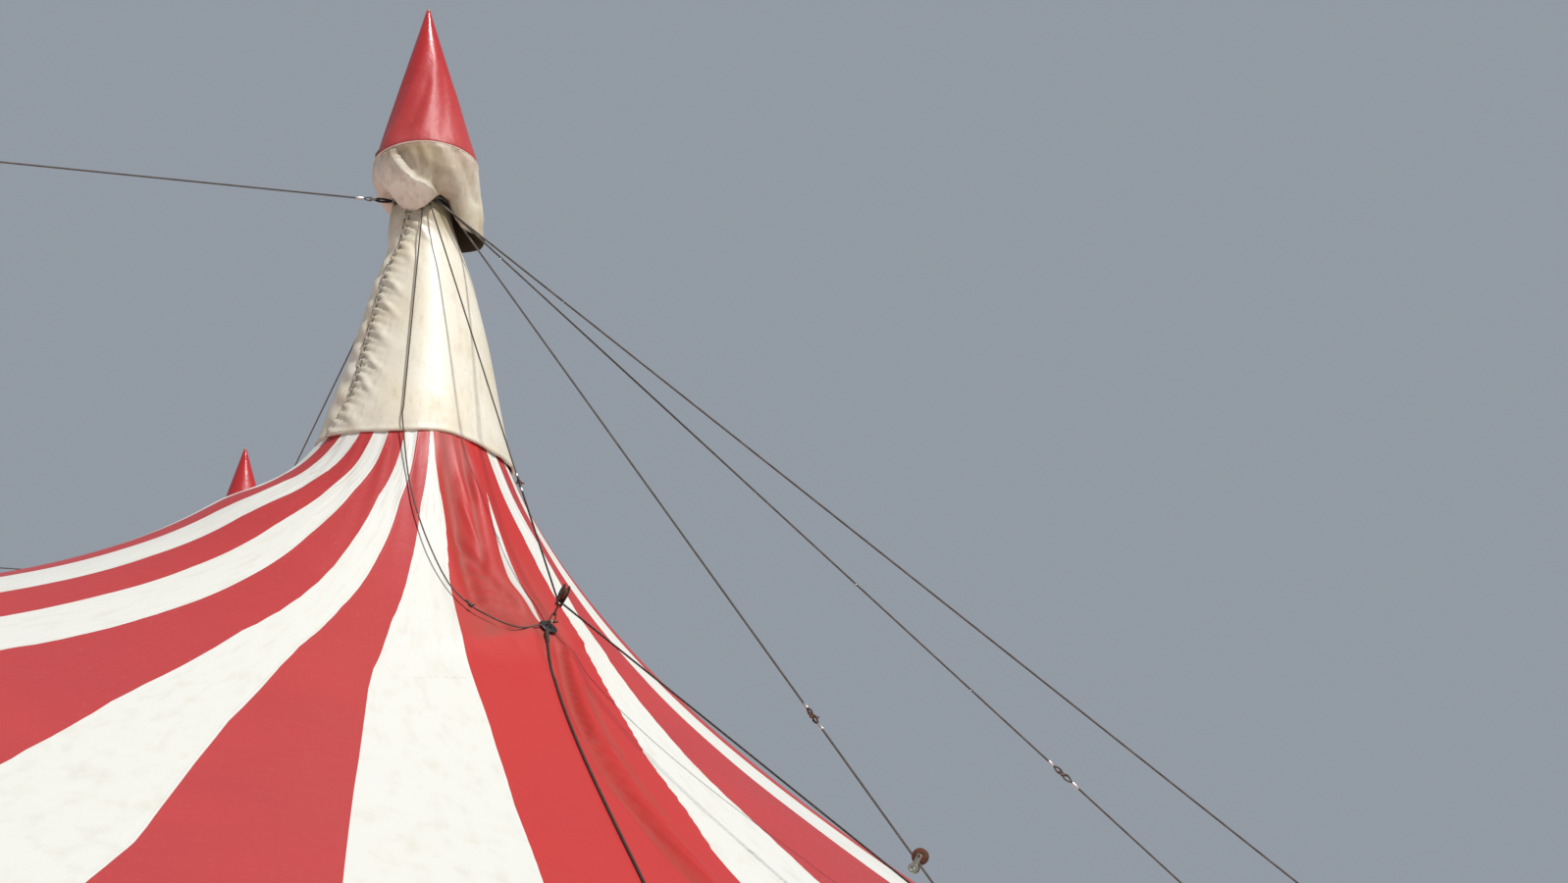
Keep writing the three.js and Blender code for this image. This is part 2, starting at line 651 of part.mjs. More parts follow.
// The wall leaves one bay open beside the middle of the front and of the back
function sideWall(fromMiddle) {
  const outer = ropeRadius - POLE_RADIUS - RAIL_TUBE * Math.SQRT1_2 - TOUCH;
  const first = fromMiddle ? 1 : 0;
  const last = fromMiddle ? ARC_DIRECTIONS : ARC_DIRECTIONS - 1;
  const sections = [];
  for (let i = first; i <= last; i += 1) {
    const out = arcPoints[i].clone().normalize();
    const at = (r, z) => out.clone().multiplyScalar(r).setZ(z);
    const inner = outer - WALL_THICKNESS;
    sections.push([at(outer, 0), at(outer, WALL_TOP), at(inner, WALL_TOP), at(inner, 0)]);
  }
  return loft(sections, false);
}

// A slack line from the collar down the cowl, over its hem and along the roof to the ring plate
function slackLine() {
  const top = collarRim(SLACK_LUG, SLACK_LINE);
  const hem = aroundMast(SLACK_HEM.radius, SLACK_HEM.angle, SLACK_HEM.height);
  const lying = SLACK_ROUTE.map(([x, y]) => {
    const hit = skinHeight(x, y);
    return hit.point.clone().addScaledVector(hit.face.normal, SLACK_LIFT);
  });
  const knot = plateRim(new THREE.Vector3(-1, -0.3, 0), SLACK_LINE + ROPE_END).reverse();
  return rope([top, hem, ...lying, ...knot], SLACK_LINE);
}

const tent = new THREE.Group();

function place(name, geometry, look, turns) {
  const mesh = new THREE.Mesh(geometry, material(look));
  mesh.name = name;
  mesh.rotation.z = (turns * Math.PI) / 2;
  tent.add(mesh);
}

const repeated = {
  king_pole: [kingPole(), 'steel'],
  bale_ring: [baleRing(), 'steel'],
  cap_cone: [capCone(), 'cone'],
  cap_skirt: [capSkirt(), 'cream'],
  cowl: [cowl(), 'cream'],
  roof_quarter: [roofGeometry, 'red'],
  mast_guys: [mastGuys(), 'wire'],
  lift_block: [liftBlock(), 'steel'],
  lift_line: [liftLine(), 'wire'],
  hold_down_rope: [holdDownRope(), 'rope'],
  side_poles: [sidePoles(), 'steel'],
  eave_rigging: [eaveRigging(), 'rope'],
};
const quarters = ['front_right', 'back_right', 'back_left', 'front_left'];
for (const [name, [geometry, look]] of Object.entries(repeated)) {
  quarters.forEach((quarter, turns) => place(`${name}_${quarter}`, geometry, look, turns));
}
quarters.forEach((quarter, turns) => {
  place(`side_wall_${quarter}`, sideWall(turns % 2 === 0), 'white', turns);
});
place('slack_line', slackLine(), 'rope', 0);

export default tent;
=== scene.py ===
import math

import bpy
import numpy as np
from mathutils import Matrix, Vector


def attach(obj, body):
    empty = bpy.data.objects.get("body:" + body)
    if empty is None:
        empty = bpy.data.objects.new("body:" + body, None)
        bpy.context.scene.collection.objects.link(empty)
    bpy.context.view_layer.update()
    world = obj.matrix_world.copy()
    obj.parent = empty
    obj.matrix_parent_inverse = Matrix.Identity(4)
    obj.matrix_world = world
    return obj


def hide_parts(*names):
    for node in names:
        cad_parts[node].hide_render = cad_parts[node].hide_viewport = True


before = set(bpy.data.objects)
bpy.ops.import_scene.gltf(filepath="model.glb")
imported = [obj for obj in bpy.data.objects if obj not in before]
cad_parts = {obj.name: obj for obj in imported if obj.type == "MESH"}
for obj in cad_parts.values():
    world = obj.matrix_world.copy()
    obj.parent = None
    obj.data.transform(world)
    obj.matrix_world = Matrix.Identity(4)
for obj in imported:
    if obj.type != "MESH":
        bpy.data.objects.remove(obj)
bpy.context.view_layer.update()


# The camera stands where a visitor would, in front of the tent and a little right of its middle, and
# looks up at the front right mast. Its long lens takes in the cap and the roof's shoulder.
PHOTO_WIDTH = 1598
SENSOR_WIDTH = 36
FOCAL_PIXELS = 3080
EYE = Vector((3.3, -30.9, 1.6))
LOOK_UP = math.radians(16.5)
LOOK_RIGHT = math.radians(16.1)
bpy.ops.object.camera_add(location=EYE, rotation=(math.pi / 2 + LOOK_UP, 0, -LOOK_RIGHT))
camera = bpy.context.object
camera.data.sensor_width = SENSOR_WIDTH
camera.data.lens = SENSOR_WIDTH * FOCAL_PIXELS / PHOTO_WIDTH
bpy.context.scene.camera = camera
bpy.context.scene.view_settings.view_transform = "Standard"


# A thin braided line hangs slack from the mast's collar, over the cowl's hem and along the roof to the
# ring plate. It is a weathered polyester cord of 12 mm, and sags between its two ends.
MAST = Vector((7.0, -7.0, 0.0))
QUARTERS = ("front_right", "back_right", "back_left", "front_left")
SLACK_DIAMETER = 0.012
SLACK_ROUTE = (
    (6.9781, -7.2506, 10.8025), (6.9307, -7.3869, 10.2681), (6.8823, -7.5232, 9.7338),
    (6.8343, -7.6595, 9.1994), (6.7960, -7.7685, 8.7719), (6.7864, -7.7958, 8.6650),
    (6.8089, -8.0380, 8.1426), (6.8429, -8.2961, 7.7872), (6.9129, -8.5861, 7.4163),
    (7.0247, -8.8560, 7.0606), (7.1638, -9.0339, 6.8611), (7.2938, -9.0939, 6.7743),
    (7.4263, -9.1033, 6.7203), (7.5655, -9.0537, 6.7097), (7.7054, -8.8954, 6.7739),
    (7.7439, -8.8721, 6.7762),
)


def linear(code):
    """An sRGB hex colour as the linear colour that the shaders take."""
    parts = [int(code[i:i + 2], 16) / 255 for i in (0, 2, 4)]
    light = [c / 12.92 if c <= 0.04045 else ((c + 0.055) / 1.055) ** 2.4 for c in parts]
    return (*light, 1.0)


def new_material(name):
    material = bpy.data.materials.new(name)
    material.use_nodes = True
    return material, material.node_tree.nodes["Principled BSDF"]


def fill_inputs(node, inputs):
    """Sets a shader node's inputs to values, or links them to other nodes' outputs."""
    for socket, value in inputs.items():
        if isinstance(value, bpy.types.NodeSocket):
            node.id_data.links.new(value, node.inputs[socket])
        else:
            node.inputs[socket].default_value = value


def add_node(material, kind, inputs=None, out=0, **settings):
    """Adds one shader node with its settings and links, and gives back one of its outputs."""
    made = material.node_tree.nodes.new("ShaderNode" + kind)
    for name, value in settings.items():
        setattr(made, name, value)
    fill_inputs(made, inputs or {})
    return made.outputs[out]


def own_place(material):
    return add_node(material, "TexCoord", out="Object")


def noise(material, place, scale, detail, **more):
    return add_node(material, "TexNoise", {"Vector": place, "Scale": scale, "Detail": detail, **more})


def bumps(material, height, strength, distance):
    return add_node(material, "Bump", {"Height": height, "Strength": strength, "Distance": distance})


def blend(material, share, first, second):
    """Mixes two colours, each of them a hex code or another node's output."""
    first, second = (linear(end) if isinstance(end, str) else end for end in (first, second))
    return add_node(material, "Mix", {0: share, 6: first, 7: second}, out=2, data_type="RGBA")


def dress(obj, material):
    """Gives an object one material in every slot."""
    obj.data.materials.clear()
    obj.data.materials.append(material)
    return obj


def select_only(obj):
    bpy.ops.object.select_all(action="DESELECT")
    obj.select_set(True)
    bpy.context.view_layer.objects.active = obj


def apply_place():
    """Puts the selected object's place, turn and size into its mesh."""
    bpy.ops.object.transform_apply(location=True, rotation=True, scale=True)


def finish_piece(obj, name, *nodes, slot=None):
    """Names a finished piece, puts its place into its mesh, hangs it under the root body and hides the CAD
    nodes it stands for.
    """
    select_only(obj)
    if obj.type == "MESH":
        apply_place()
    obj.name = name
    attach(obj, "root")
    if nodes:
        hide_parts(*nodes)
    return obj


def smooth_route(points, steps):
    """A Catmull-Rom curve through the points, as a denser list of points."""
    p = [Vector(q) for q in (points[0], *points, points[-1])]
    out = []
    for a, b, c, d in zip(p, p[1:], p[2:], p[3:]):
        for k in range(steps):
            t = k / steps
            out.append(0.5 * (2 * b + (c - a) * t + (2 * a - 5 * b + 4 * c - d) * t * t
                              + (3 * b - a - 3 * c + d) * t ** 3))
    out.append(p[-1])
    return out


def cord_curve(points, diameter, sides=3):
    """An open poly curve with a round section and closed ends, through points in the tent's frame."""
    bpy.ops.object.select_all(action="DESELECT")
    bpy.ops.curve.primitive_bezier_curve_add(location=(0, 0, 0))
    curve = bpy.context.object
    curve.data.splines.clear()
    spline = curve.data.splines.new("POLY")
    spline.points.add(len(points) - 1)
    for knot, place in zip(spline.points, points):
        knot.co = (*place, 1)
    curve.data.dimensions = "3D"
    curve.data.bevel_depth = diameter / 2
    curve.data.bevel_resolution = sides
    curve.data.use_fill_caps = True
    return curve


def cord_fibre(name, dark, light, lay):
    """Weathered rope: dull and dirty, with the slanting lay of its strands as a bump."""
    material, shader = new_material(name)
    place = own_place(material)
    strands = add_node(material, "TexWave", {"Vector": place, "Scale": 0.35 / lay, "Distortion": 1.5},
                       out="Fac", bands_direction="DIAGONAL")
    tone = blend(material, noise(material, place, 9.0, 4.0), dark, light)
    bump = bumps(material, strands, 0.6, lay / 4)
    fill_inputs(shader, {"Base Color": tone, "Normal": bump, "Roughness": 0.85})
    return material


slack_points = smooth_route(SLACK_ROUTE, steps=3)
slack = cord_curve(slack_points, SLACK_DIAMETER)
dress(slack, cord_fibre("weathered_braided_polyester", "2E2A27", "6A5E52", SLACK_DIAMETER))
finish_piece(slack, "slack_line_look", "slack_line", slot="thin_cord")


# The roof is one skin of PVC coated polyester in four quarters that meet on the tent's middle lines. It
# rises to each mast as the logarithm of the distance. Its red and white cloths swing round as they leave
# the cowl, because the ring plate pulls the front of the skin out into a shoulder.
EAVE_RADIUS = 17.0
EAVE_HEIGHT = 2.96
ROOF_PULL = 1.48
ROOF_CROWN = 1.38
SAG_DEPTH = 0.3
SAG_TURN = math.radians(150)
SAG_START = 0.7
SAG_END = 1.6
HOLE_RADIUS = 0.6
FINE_RADIUS = 3.1
ROOF_COLUMNS = 240
FINE_ROWS = 74
COARSE_ROWS = 20
# The rows spread as they leave the hole, and the columns crowd together towards the front of the mast
ROW_SPREAD = 1.15
CROWDING = 0.6
CROWDING_TURN = math.radians(97)
SKIN_THICKNESS = 0.004
SEAM_GAP = 0.0002
WELD_DISTANCE = 0.0004
STRIPES = 28
PLATE = Vector((7.8003, -8.8305, 6.7734))

# Directions in degrees, seen from the mast, of the cloths' edges at each of the radii, left to right
EDGE_RADII = (0.8, 1.2, 1.7, 2.4, 3.2, 4.6, 7.0)
EDGE_TURNS = (
    (-130.0, -141.0, -149.0, -153.0, -155.0, -157.0, -158.0),
    (-121.5, -130.0, -136.0, -140.5, -143.7, -146.0, -147.0),
    (-112.5, -120.7, -125.4, -129.0, -132.5, -136.3, -137.0),
    (-103.0, -110.9, -114.3, -117.5, -121.0, -121.8, -119.7),
    (-96.2, -102.7, -106.5, -110.4, -113.1, -113.0, -110.8),
    (-88.8, -95.0, -98.3, -101.5, -103.0, -102.2, -101.3),
    (-87.8, -86.0, -88.4, -88.8, -88.7, -89.7, -90.8),
    (-51.0, -49.7, -53.0, -59.5, -65.5, -71.5, -75.0),
    (-42.0, -39.0, -46.0, -51.5, -56.0, -60.2, -62.0),
    (-31.0, -34.0, -36.0, -38.0, -39.5, -41.5, -43.0),
    (-23.0, -24.0, -26.0, -27.5, -28.5, -29.5, -31.0),
)
# The white wedge beside the panel: radius, direction of its middle, half its width in metres
WEDGE = ((0.88, -62.5, -0.02), (1.17, -64.9, 0.02), (1.42, -67.1, 0.045), (1.67, -68.3, 0.06),
         (1.86, -68.3, 0.05), (2.02, -66.3, -0.02))
# Folds of the skin in the plan: the points of each line, then its height and half its width in metres
FOLDS = (
    (((7.11, -7.70), (7.12, -7.88), (7.16, -8.19), (7.21, -8.54), (7.25, -8.81), (7.42, -8.98)),
     -0.070, 0.085),
    (((7.34, -7.72), (7.39, -7.88), (7.42, -8.20), (7.45, -8.51), (7.62, -8.76)), 0.045, 0.085),
    (((7.15, -8.27), (7.34, -8.50)), -0.024, 0.026),
    (((7.18, -8.45), (7.42, -8.64)), -0.020, 0.024),
    (((7.20, -8.60), (7.50, -8.72)), -0.020, 0.022),
    (((7.20, -8.71), (7.56, -8.79)), -0.020, 0.022),
    (((7.21, -8.83), (7.60, -8.86)), -0.018, 0.020),
    (((7.17, -7.74), (7.25, -7.86), (7.33, -8.02)), -0.020, 0.030),
    (((7.24, -8.10), (7.34, -8.34)), 0.014, 0.026),
    (((7.28, -7.74), (7.33, -8.10), (7.36, -8.44)), -0.016, 0.030),
    (((7.86, -8.98), (7.84, -9.60), (7.87, -10.20), (7.90, -10.75), (8.07, -11.65), (8.22, -12.40)),
     -0.050, 0.050),
    (((7.95, -8.98), (7.95, -9.60), (8.00, -10.40), (8.14, -11.40), (8.30, -12.30)), 0.042, 0.060),
    (((8.02, -9.30), (8.06, -10.00), (8.16, -10.90)), -0.018, 0.050),
    (((7.72, -8.94), (7.73, -9.12), (7.77, -9.34)), -0.016, 0.030),
)
FOLD_DEPTH = 1.45
# The shoulder runs out from the ring plate: points of its line in the plan, and how far it stands proud
SHOULDER = ((7.93, -8.80), (7.73, -8.93), (7.46, -9.10), (7.21, -9.27), (7.01, -9.37), (6.74, -9.43),
            (6.48, -9.46), (6.10, -9.54))
SHOULDER_LIFT = 0.075
SHOULDER_BACK = 0.40
SHOULDER_FRONT = 0.13
SHOULDER_FADE = (0.15, 1.75)
SHOULDER_START = (0.08, 0.25)
# The skin's peak just meets the ring plate, and the skin round it hangs lower
PEAK_LIFT = 0.075
PEAK_REACH = 0.30
PEAK_SAG = 0.055
PEAK_SAG_FADE = (0.4, 2.4)
RIPPLE_DEPTH = 0.006
RIPPLE_FADE = (0.9, 2.4)
# Under the cowl the folds fade out: distances from the mast
RELIEF_START = (0.80, 0.98)
# The joint that crosses the cloths below the shoulder, from end to end in the plan
CROSS_SEAM = (Vector((4.40, -11.19)), Vector((7.05, -9.80)))
# How dark the shoulder, the creases and the skin round the plate are made: dirt with painted shade
SHOULDER_GRIME_AND_SHADE = 0.62
CREASE_GRIME_AND_SHADE = 0.55
PLATE_GRIME_AND_SHADE = 0.75
# Distances from the plate, and values of x, between which the shoulder's dirt and painted shade fade out
GRIME_AND_SHADE_END = (0.55, 1.0)
GRIME_AND_SHADE_EDGE = (7.80, 8.02)
# How far it reaches behind and before the shoulder, and round the plate
GRIME_AND_SHADE_BACK = 0.45
GRIME_AND_SHADE_FRONT = 0.03
GRIME_AND_SHADE_ROUND = 0.10
# Under the cowl's hem the skin is drawn down to a ring that is nearly level
HEM_HEIGHT = 8.545
HEM_TILT = 0.07
HEM_TILT_TURN = math.radians(170)
HEM_RISE = 0.062
HEM_RISE_TURN = math.radians(-80)
HEM_RISE_WIDTH = math.radians(24)
HEM_RADIUS = 0.81
HEM_CLEARANCE = 0.030
# Radii over which the skin is brought to that ring, and let go again
SEAT_START = (0.61, 0.74)
SEAT_END = (0.85, 1.7)


def fade(value, start, end):
    """1 at start, falling smoothly to 0 at end, for numbers or arrays."""
    t = np.clip((value - start) / (end - start), 0, 1)
    return 1 - t * t * (3 - 2 * t)


def rise(value, start, end):
    """0 at start, rising smoothly to 1 at end."""
    return fade(-value, -end, -start)


def roof_height(x, y):
    """Height of the roof's smooth form over a point of the plan, which may be an array of points."""
    z = EAVE_HEIGHT + ROOF_CROWN * (1 - (x * x + y * y) / EAVE_RADIUS ** 2)
    axis = MAST.xy.length
    mirror = MAST.x * (EAVE_RADIUS / axis) ** 2
    for turns, (sx, sy) in enumerate(((1, -1), (1, 1), (-1, 1), (-1, -1))):
        dx, dy = x - sx * MAST.x, y - sy * MAST.x
        near = np.hypot(dx, dy)
        far = np.hypot(x - sx * mirror, y - sy * mirror)
        facing = (1 + np.cos(np.arctan2(dy, dx) - SAG_TURN - turns * math.pi / 2)) / 2
        z = z + ROOF_PULL * np.log(far * axis / (EAVE_RADIUS * near))
        z = z - SAG_DEPTH * facing ** 2 * fade(near, SAG_START, SAG_END)
    return z


def roof_reach(angle):
    """Plan distance from the mast to the edge of its quarter, for an array of angles."""
    dx, dy = np.cos(angle), np.sin(angle)
    left = np.where(dx < -1e-9, (SEAM_GAP - MAST.x) / np.where(dx < -1e-9, dx, -1), 1e9)
    back = np.where(dy > 1e-9, (-SEAM_GAP - MAST.y) / np.where(dy > 1e-9, dy, 1), 1e9)
    half = MAST.x * dx + MAST.y * dy
    arc = -half + np.sqrt(half * half + EAVE_RADIUS ** 2 - MAST.xy.length_squared)
    return np.minimum(np.minimum(left, back), arc)


def off_line(u, v, points):
    """Distance from a line of straight stretches, and the side a place lies on, above 0 to the left."""
    nearest, side = np.full(np.shape(u), 1e9), np.zeros(np.shape(u))
    for (u0, v0), (u1, v1) in zip(points, points[1:]):
        du, dv = u1 - u0, v1 - v0
        t = np.clip(((u - u0) * du + (v - v0) * dv) / (du * du + dv * dv), 0, 1)
        off = np.hypot(u - u0 - t * du, v - v0 - t * dv)
        side = np.where(off < nearest, du * (v - v0) - dv * (u - u0), side)
        nearest = np.minimum(off, nearest)
    return nearest, side


def bell(value, width, middle=0.0):
    """A bell curve: 1 in the middle, and about a third at the given distance from it."""
    return np.exp(-((value - middle) / width) ** 2)


def fold_shape(u, v, points, width):
    """1 along the line of a fold, falling away to both sides."""
    return bell(off_line(u, v, points)[0], width)


def hem_height(angle):
    """Height of the cowl's hem, by direction from the mast."""
    from_rise = np.remainder(angle - HEM_RISE_TURN + math.pi, 2 * math.pi) - math.pi
    return (HEM_HEIGHT + HEM_TILT * np.cos(angle - HEM_TILT_TURN)
            + HEM_RISE * bell(from_rise, HEM_RISE_WIDTH))


def hem_seat(turn, reach):
    """How far the skin is moved so that it meets the cowl's hem."""
    x, y = MAST.x + HEM_RADIUS * np.cos(turn), MAST.y + HEM_RADIUS * np.sin(turn)
    gap = hem_height(turn) - HEM_CLEARANCE - roof_height(x, y)
    return gap * rise(reach, *SEAT_START) * fade(reach, *SEAT_END)


def roof_relief(x, y):
    """How far the skin stands above the smooth form: the peak at the plate, the shoulder and the folds."""
    out = np.hypot(x - PLATE.x, y - PLATE.y)
    reach = np.hypot(x - MAST.x, y - MAST.y)
    turn = np.arctan2(y - MAST.y, x - MAST.x)
    relief = PEAK_LIFT * np.exp(-out / PEAK_REACH) - PEAK_SAG * fade(out, *PEAK_SAG_FADE)
    off, side = off_line(x, y, SHOULDER)
    crest = np.where(side < 0, np.exp(-off / SHOULDER_BACK), bell(off, SHOULDER_FRONT))
    relief = relief + SHOULDER_LIFT * fade(out, *SHOULDER_FADE) * crest * rise(out, *SHOULDER_START)
    for points, height, width in FOLDS:
        relief = relief + FOLD_DEPTH * height * fold_shape(x, y, points, width)
    ripple = np.sin(turn * 41) * 0.6 + np.sin(turn * 67 + 1.3) * 0.4
    relief = relief * rise(reach, *RELIEF_START) + RIPPLE_DEPTH * ripple * fade(reach, *RIPPLE_FADE)
    return relief + hem_seat(turn, reach)


def roof_grime_and_shade(x, y):
    """Dirt with painted shade: above the shoulder beside the panel, in the creases, and under the plate."""
    off, side = off_line(x, y, SHOULDER)
    out = np.hypot(x - PLATE.x, y - PLATE.y)
    grime_and_shade = SHOULDER_GRIME_AND_SHADE * np.where(side < 0, np.exp(-off / GRIME_AND_SHADE_BACK), bell(off, GRIME_AND_SHADE_FRONT))
    grime_and_shade = grime_and_shade * fade(out, *GRIME_AND_SHADE_END) * fade(x, *GRIME_AND_SHADE_EDGE)
    for points, height, width in FOLDS:
        if height < 0:
            grime_and_shade = np.maximum(grime_and_shade, CREASE_GRIME_AND_SHADE * fold_shape(x, y, points, 0.8 * width))
    return np.maximum(grime_and_shade, PLATE_GRIME_AND_SHADE * np.exp(-out / GRIME_AND_SHADE_ROUND))


def skin_z(x, y):
    return roof_height(x, y) + roof_relief(x, y)


def new_grid(columns, rows):
    """A flat grid to be shaped, with each point's share of the way across and down."""
    bpy.ops.object.select_all(action="DESELECT")
    bpy.ops.mesh.primitive_grid_add(x_subdivisions=columns, y_subdivisions=rows, size=2)
    grid = bpy.context.object
    points = np.zeros(len(grid.data.vertices) * 3, np.float32)
    grid.data.vertices.foreach_get("co", points)
    points = points.reshape(-1, 3).astype(float)
    return grid, (points[:, 0] + 1) / 2, (points[:, 1] + 1) / 2


def set_points(obj, x, y, z):
    points = np.stack([x, y, z], 1).astype(np.float32)
    obj.data.vertices.foreach_set("co", points.ravel())
    obj.data.update()


def turn_outwards(sheet, weld=False):
    """Turns a sheet's faces outwards and smooths it. With weld, its two sides join into a tube or ring."""
    select_only(sheet)
    bpy.ops.object.mode_set(mode="EDIT")
    bpy.ops.mesh.select_all(action="SELECT")
    if weld:
        bpy.ops.mesh.remove_doubles(threshold=WELD_DISTANCE)
    bpy.ops.mesh.flip_normals()
    bpy.ops.object.mode_set(mode="OBJECT")
    bpy.ops.object.shade_smooth()


def give_thickness(sheet, thickness, lining=None):
    """Makes the sheet solid inwards, with a material of its own inside where one is given."""
    thicken = sheet.modifiers.new("thickness", "SOLIDIFY")
    thicken.thickness = thickness
    thicken.offset = -1
    if lining:
        face = sheet.data.materials[0]
        dress(sheet, lining)
        sheet.data.materials.append(face)
        thicken.material_offset = 1


def turned_copy(obj, turns):
    """A copy with its own mesh, turned about the tent's middle by quarter turns."""
    copy = obj.copy()
    copy.data = obj.data.copy()
    copy.data.transform(Matrix.Rotation(turns * math.pi / 2, 4, "Z"))
    bpy.context.scene.collection.objects.link(copy)
    return copy


def place_round(obj, kind, slot, replaced=True):
    """The piece and its three turned copies, each standing for the CAD node of its own quarter."""
    pieces = [obj, *(turned_copy(obj, turns) for turns in (1, 2, 3))]
    for piece, quarter in zip(pieces, QUARTERS):
        nodes = [f"{kind}_{quarter}"] if replaced else []
        finish_piece(piece, f"{kind}_look_{quarter}", *nodes, slot=slot)
    return pieces


def stripe_number(radius, degrees):
    """Which cloth a point lies on, counted from the first edge, with a fraction for the place across it."""
    spare = STRIPES - len(EDGE_TURNS) + 1
    columns = [np.interp(radius, EDGE_RADII, turns) for turns in EDGE_TURNS]
    first = columns[0] + 360
    last = columns[-1]
    columns += [last + (first - last) * k / spare for k in range(1, spare + 1)]
    turn = np.where(degrees < columns[0], degrees + 360, degrees)
    number = np.zeros_like(turn)
    for k, (low, high) in enumerate(zip(columns, columns[1:])):
        inside = (turn >= low) & (turn <= high)
        number = np.where(inside, k + (turn - low) / (high - low), number)
    return number


def store_uv(obj, name, u, v, period):
    """Writes a UV map from values at the vertices. Faces stay whole where the numbering starts again."""
    layer = obj.data.uv_layers[0]
    layer.name = name
    corner = np.zeros(len(obj.data.loops), np.int32)
    obj.data.loops.foreach_get("vertex_index", corner)
    sides = len(obj.data.loops) // len(obj.data.polygons)
    faces = u[corner].reshape(-1, sides)
    torn = (faces.max(1) - faces.min(1)) > period / 2
    faces[torn] = np.where(faces[torn] < period / 2, faces[torn] + period, faces[torn])
    layer.data.foreach_set("uv", np.stack([faces.ravel(), v[corner]], 1).astype(np.float32).ravel())


def store_value(obj, name, values):
    attribute = obj.data.attributes.new(name, "FLOAT", "POINT")
    attribute.data.foreach_set("value", np.asarray(values, np.float32))


def wedge_depth(radius, degrees):
    """How far inside the white wedge a point lies, in metres, and less than zero outside it."""
    radii, middles, halves = zip(*WEDGE)
    middle, half = np.interp(radius, radii, middles), np.interp(radius, radii, halves)
    return half - np.abs(np.radians(degrees - middle)) * radius


def cross_seam(x, y):
    """Distance from the joint that crosses the cloths, large beyond its two ends."""
    start, end = CROSS_SEAM
    along = (end - start).normalized()
    dx, dy = x - start.x, y - start.y
    t = dx * along.x + dy * along.y
    off = np.abs(dx * -along.y + dy * along.x)
    return np.where((t < 0) | (t > (end - start).length), 9.0, off)


def stored(material, name):
    """Reads a value that was stored at the sheet's vertices."""
    return add_node(material, "Attribute", out="Fac", attribute_name=name)


def reckon(material, operation, *values):
    return add_node(material, "Math", dict(enumerate(values)), operation=operation)


def ramp(material, value, low, high, start=0.0, end=1.0):
    """The start where the value is low, the end where it is high, and an even change in between."""
    return add_node(material, "MapRange", dict(enumerate((value, low, high, start, end))))


def roof_sheet():
    """One quarter as a grid wrapped round the mast. Its UV map is the cloth's number and the radius."""
    rows = FINE_ROWS + COARSE_ROWS
    sheet, share, down = new_grid(ROOF_COLUMNS, rows)
    row = np.round(down * rows)
    angle = share * 2 * math.pi + CROWDING * np.sin(share * 2 * math.pi) + CROWDING_TURN
    fine = HOLE_RADIUS + (FINE_RADIUS - HOLE_RADIUS) * np.minimum(row / FINE_ROWS, 1) ** ROW_SPREAD
    beyond = np.clip((row - FINE_ROWS) / COARSE_ROWS, 0, 1)
    radius = np.where(row <= FINE_ROWS, fine, FINE_RADIUS + (roof_reach(angle) - FINE_RADIUS) * beyond)
    x, y = MAST.x + radius * np.cos(angle), MAST.y + radius * np.sin(angle)
    set_points(sheet, x, y, skin_z(x, y))
    degrees = np.degrees((angle + math.pi) % (2 * math.pi) - math.pi)
    store_uv(sheet, "cloth", stripe_number(radius, degrees), radius, STRIPES)
    store_value(sheet, "wedge", wedge_depth(radius, degrees))
    store_value(sheet, "seam", cross_seam(x, y))
    store_value(sheet, "grime_and_shade", roof_grime_and_shade(x, y))
    turn_outwards(sheet, weld=True)
    return sheet


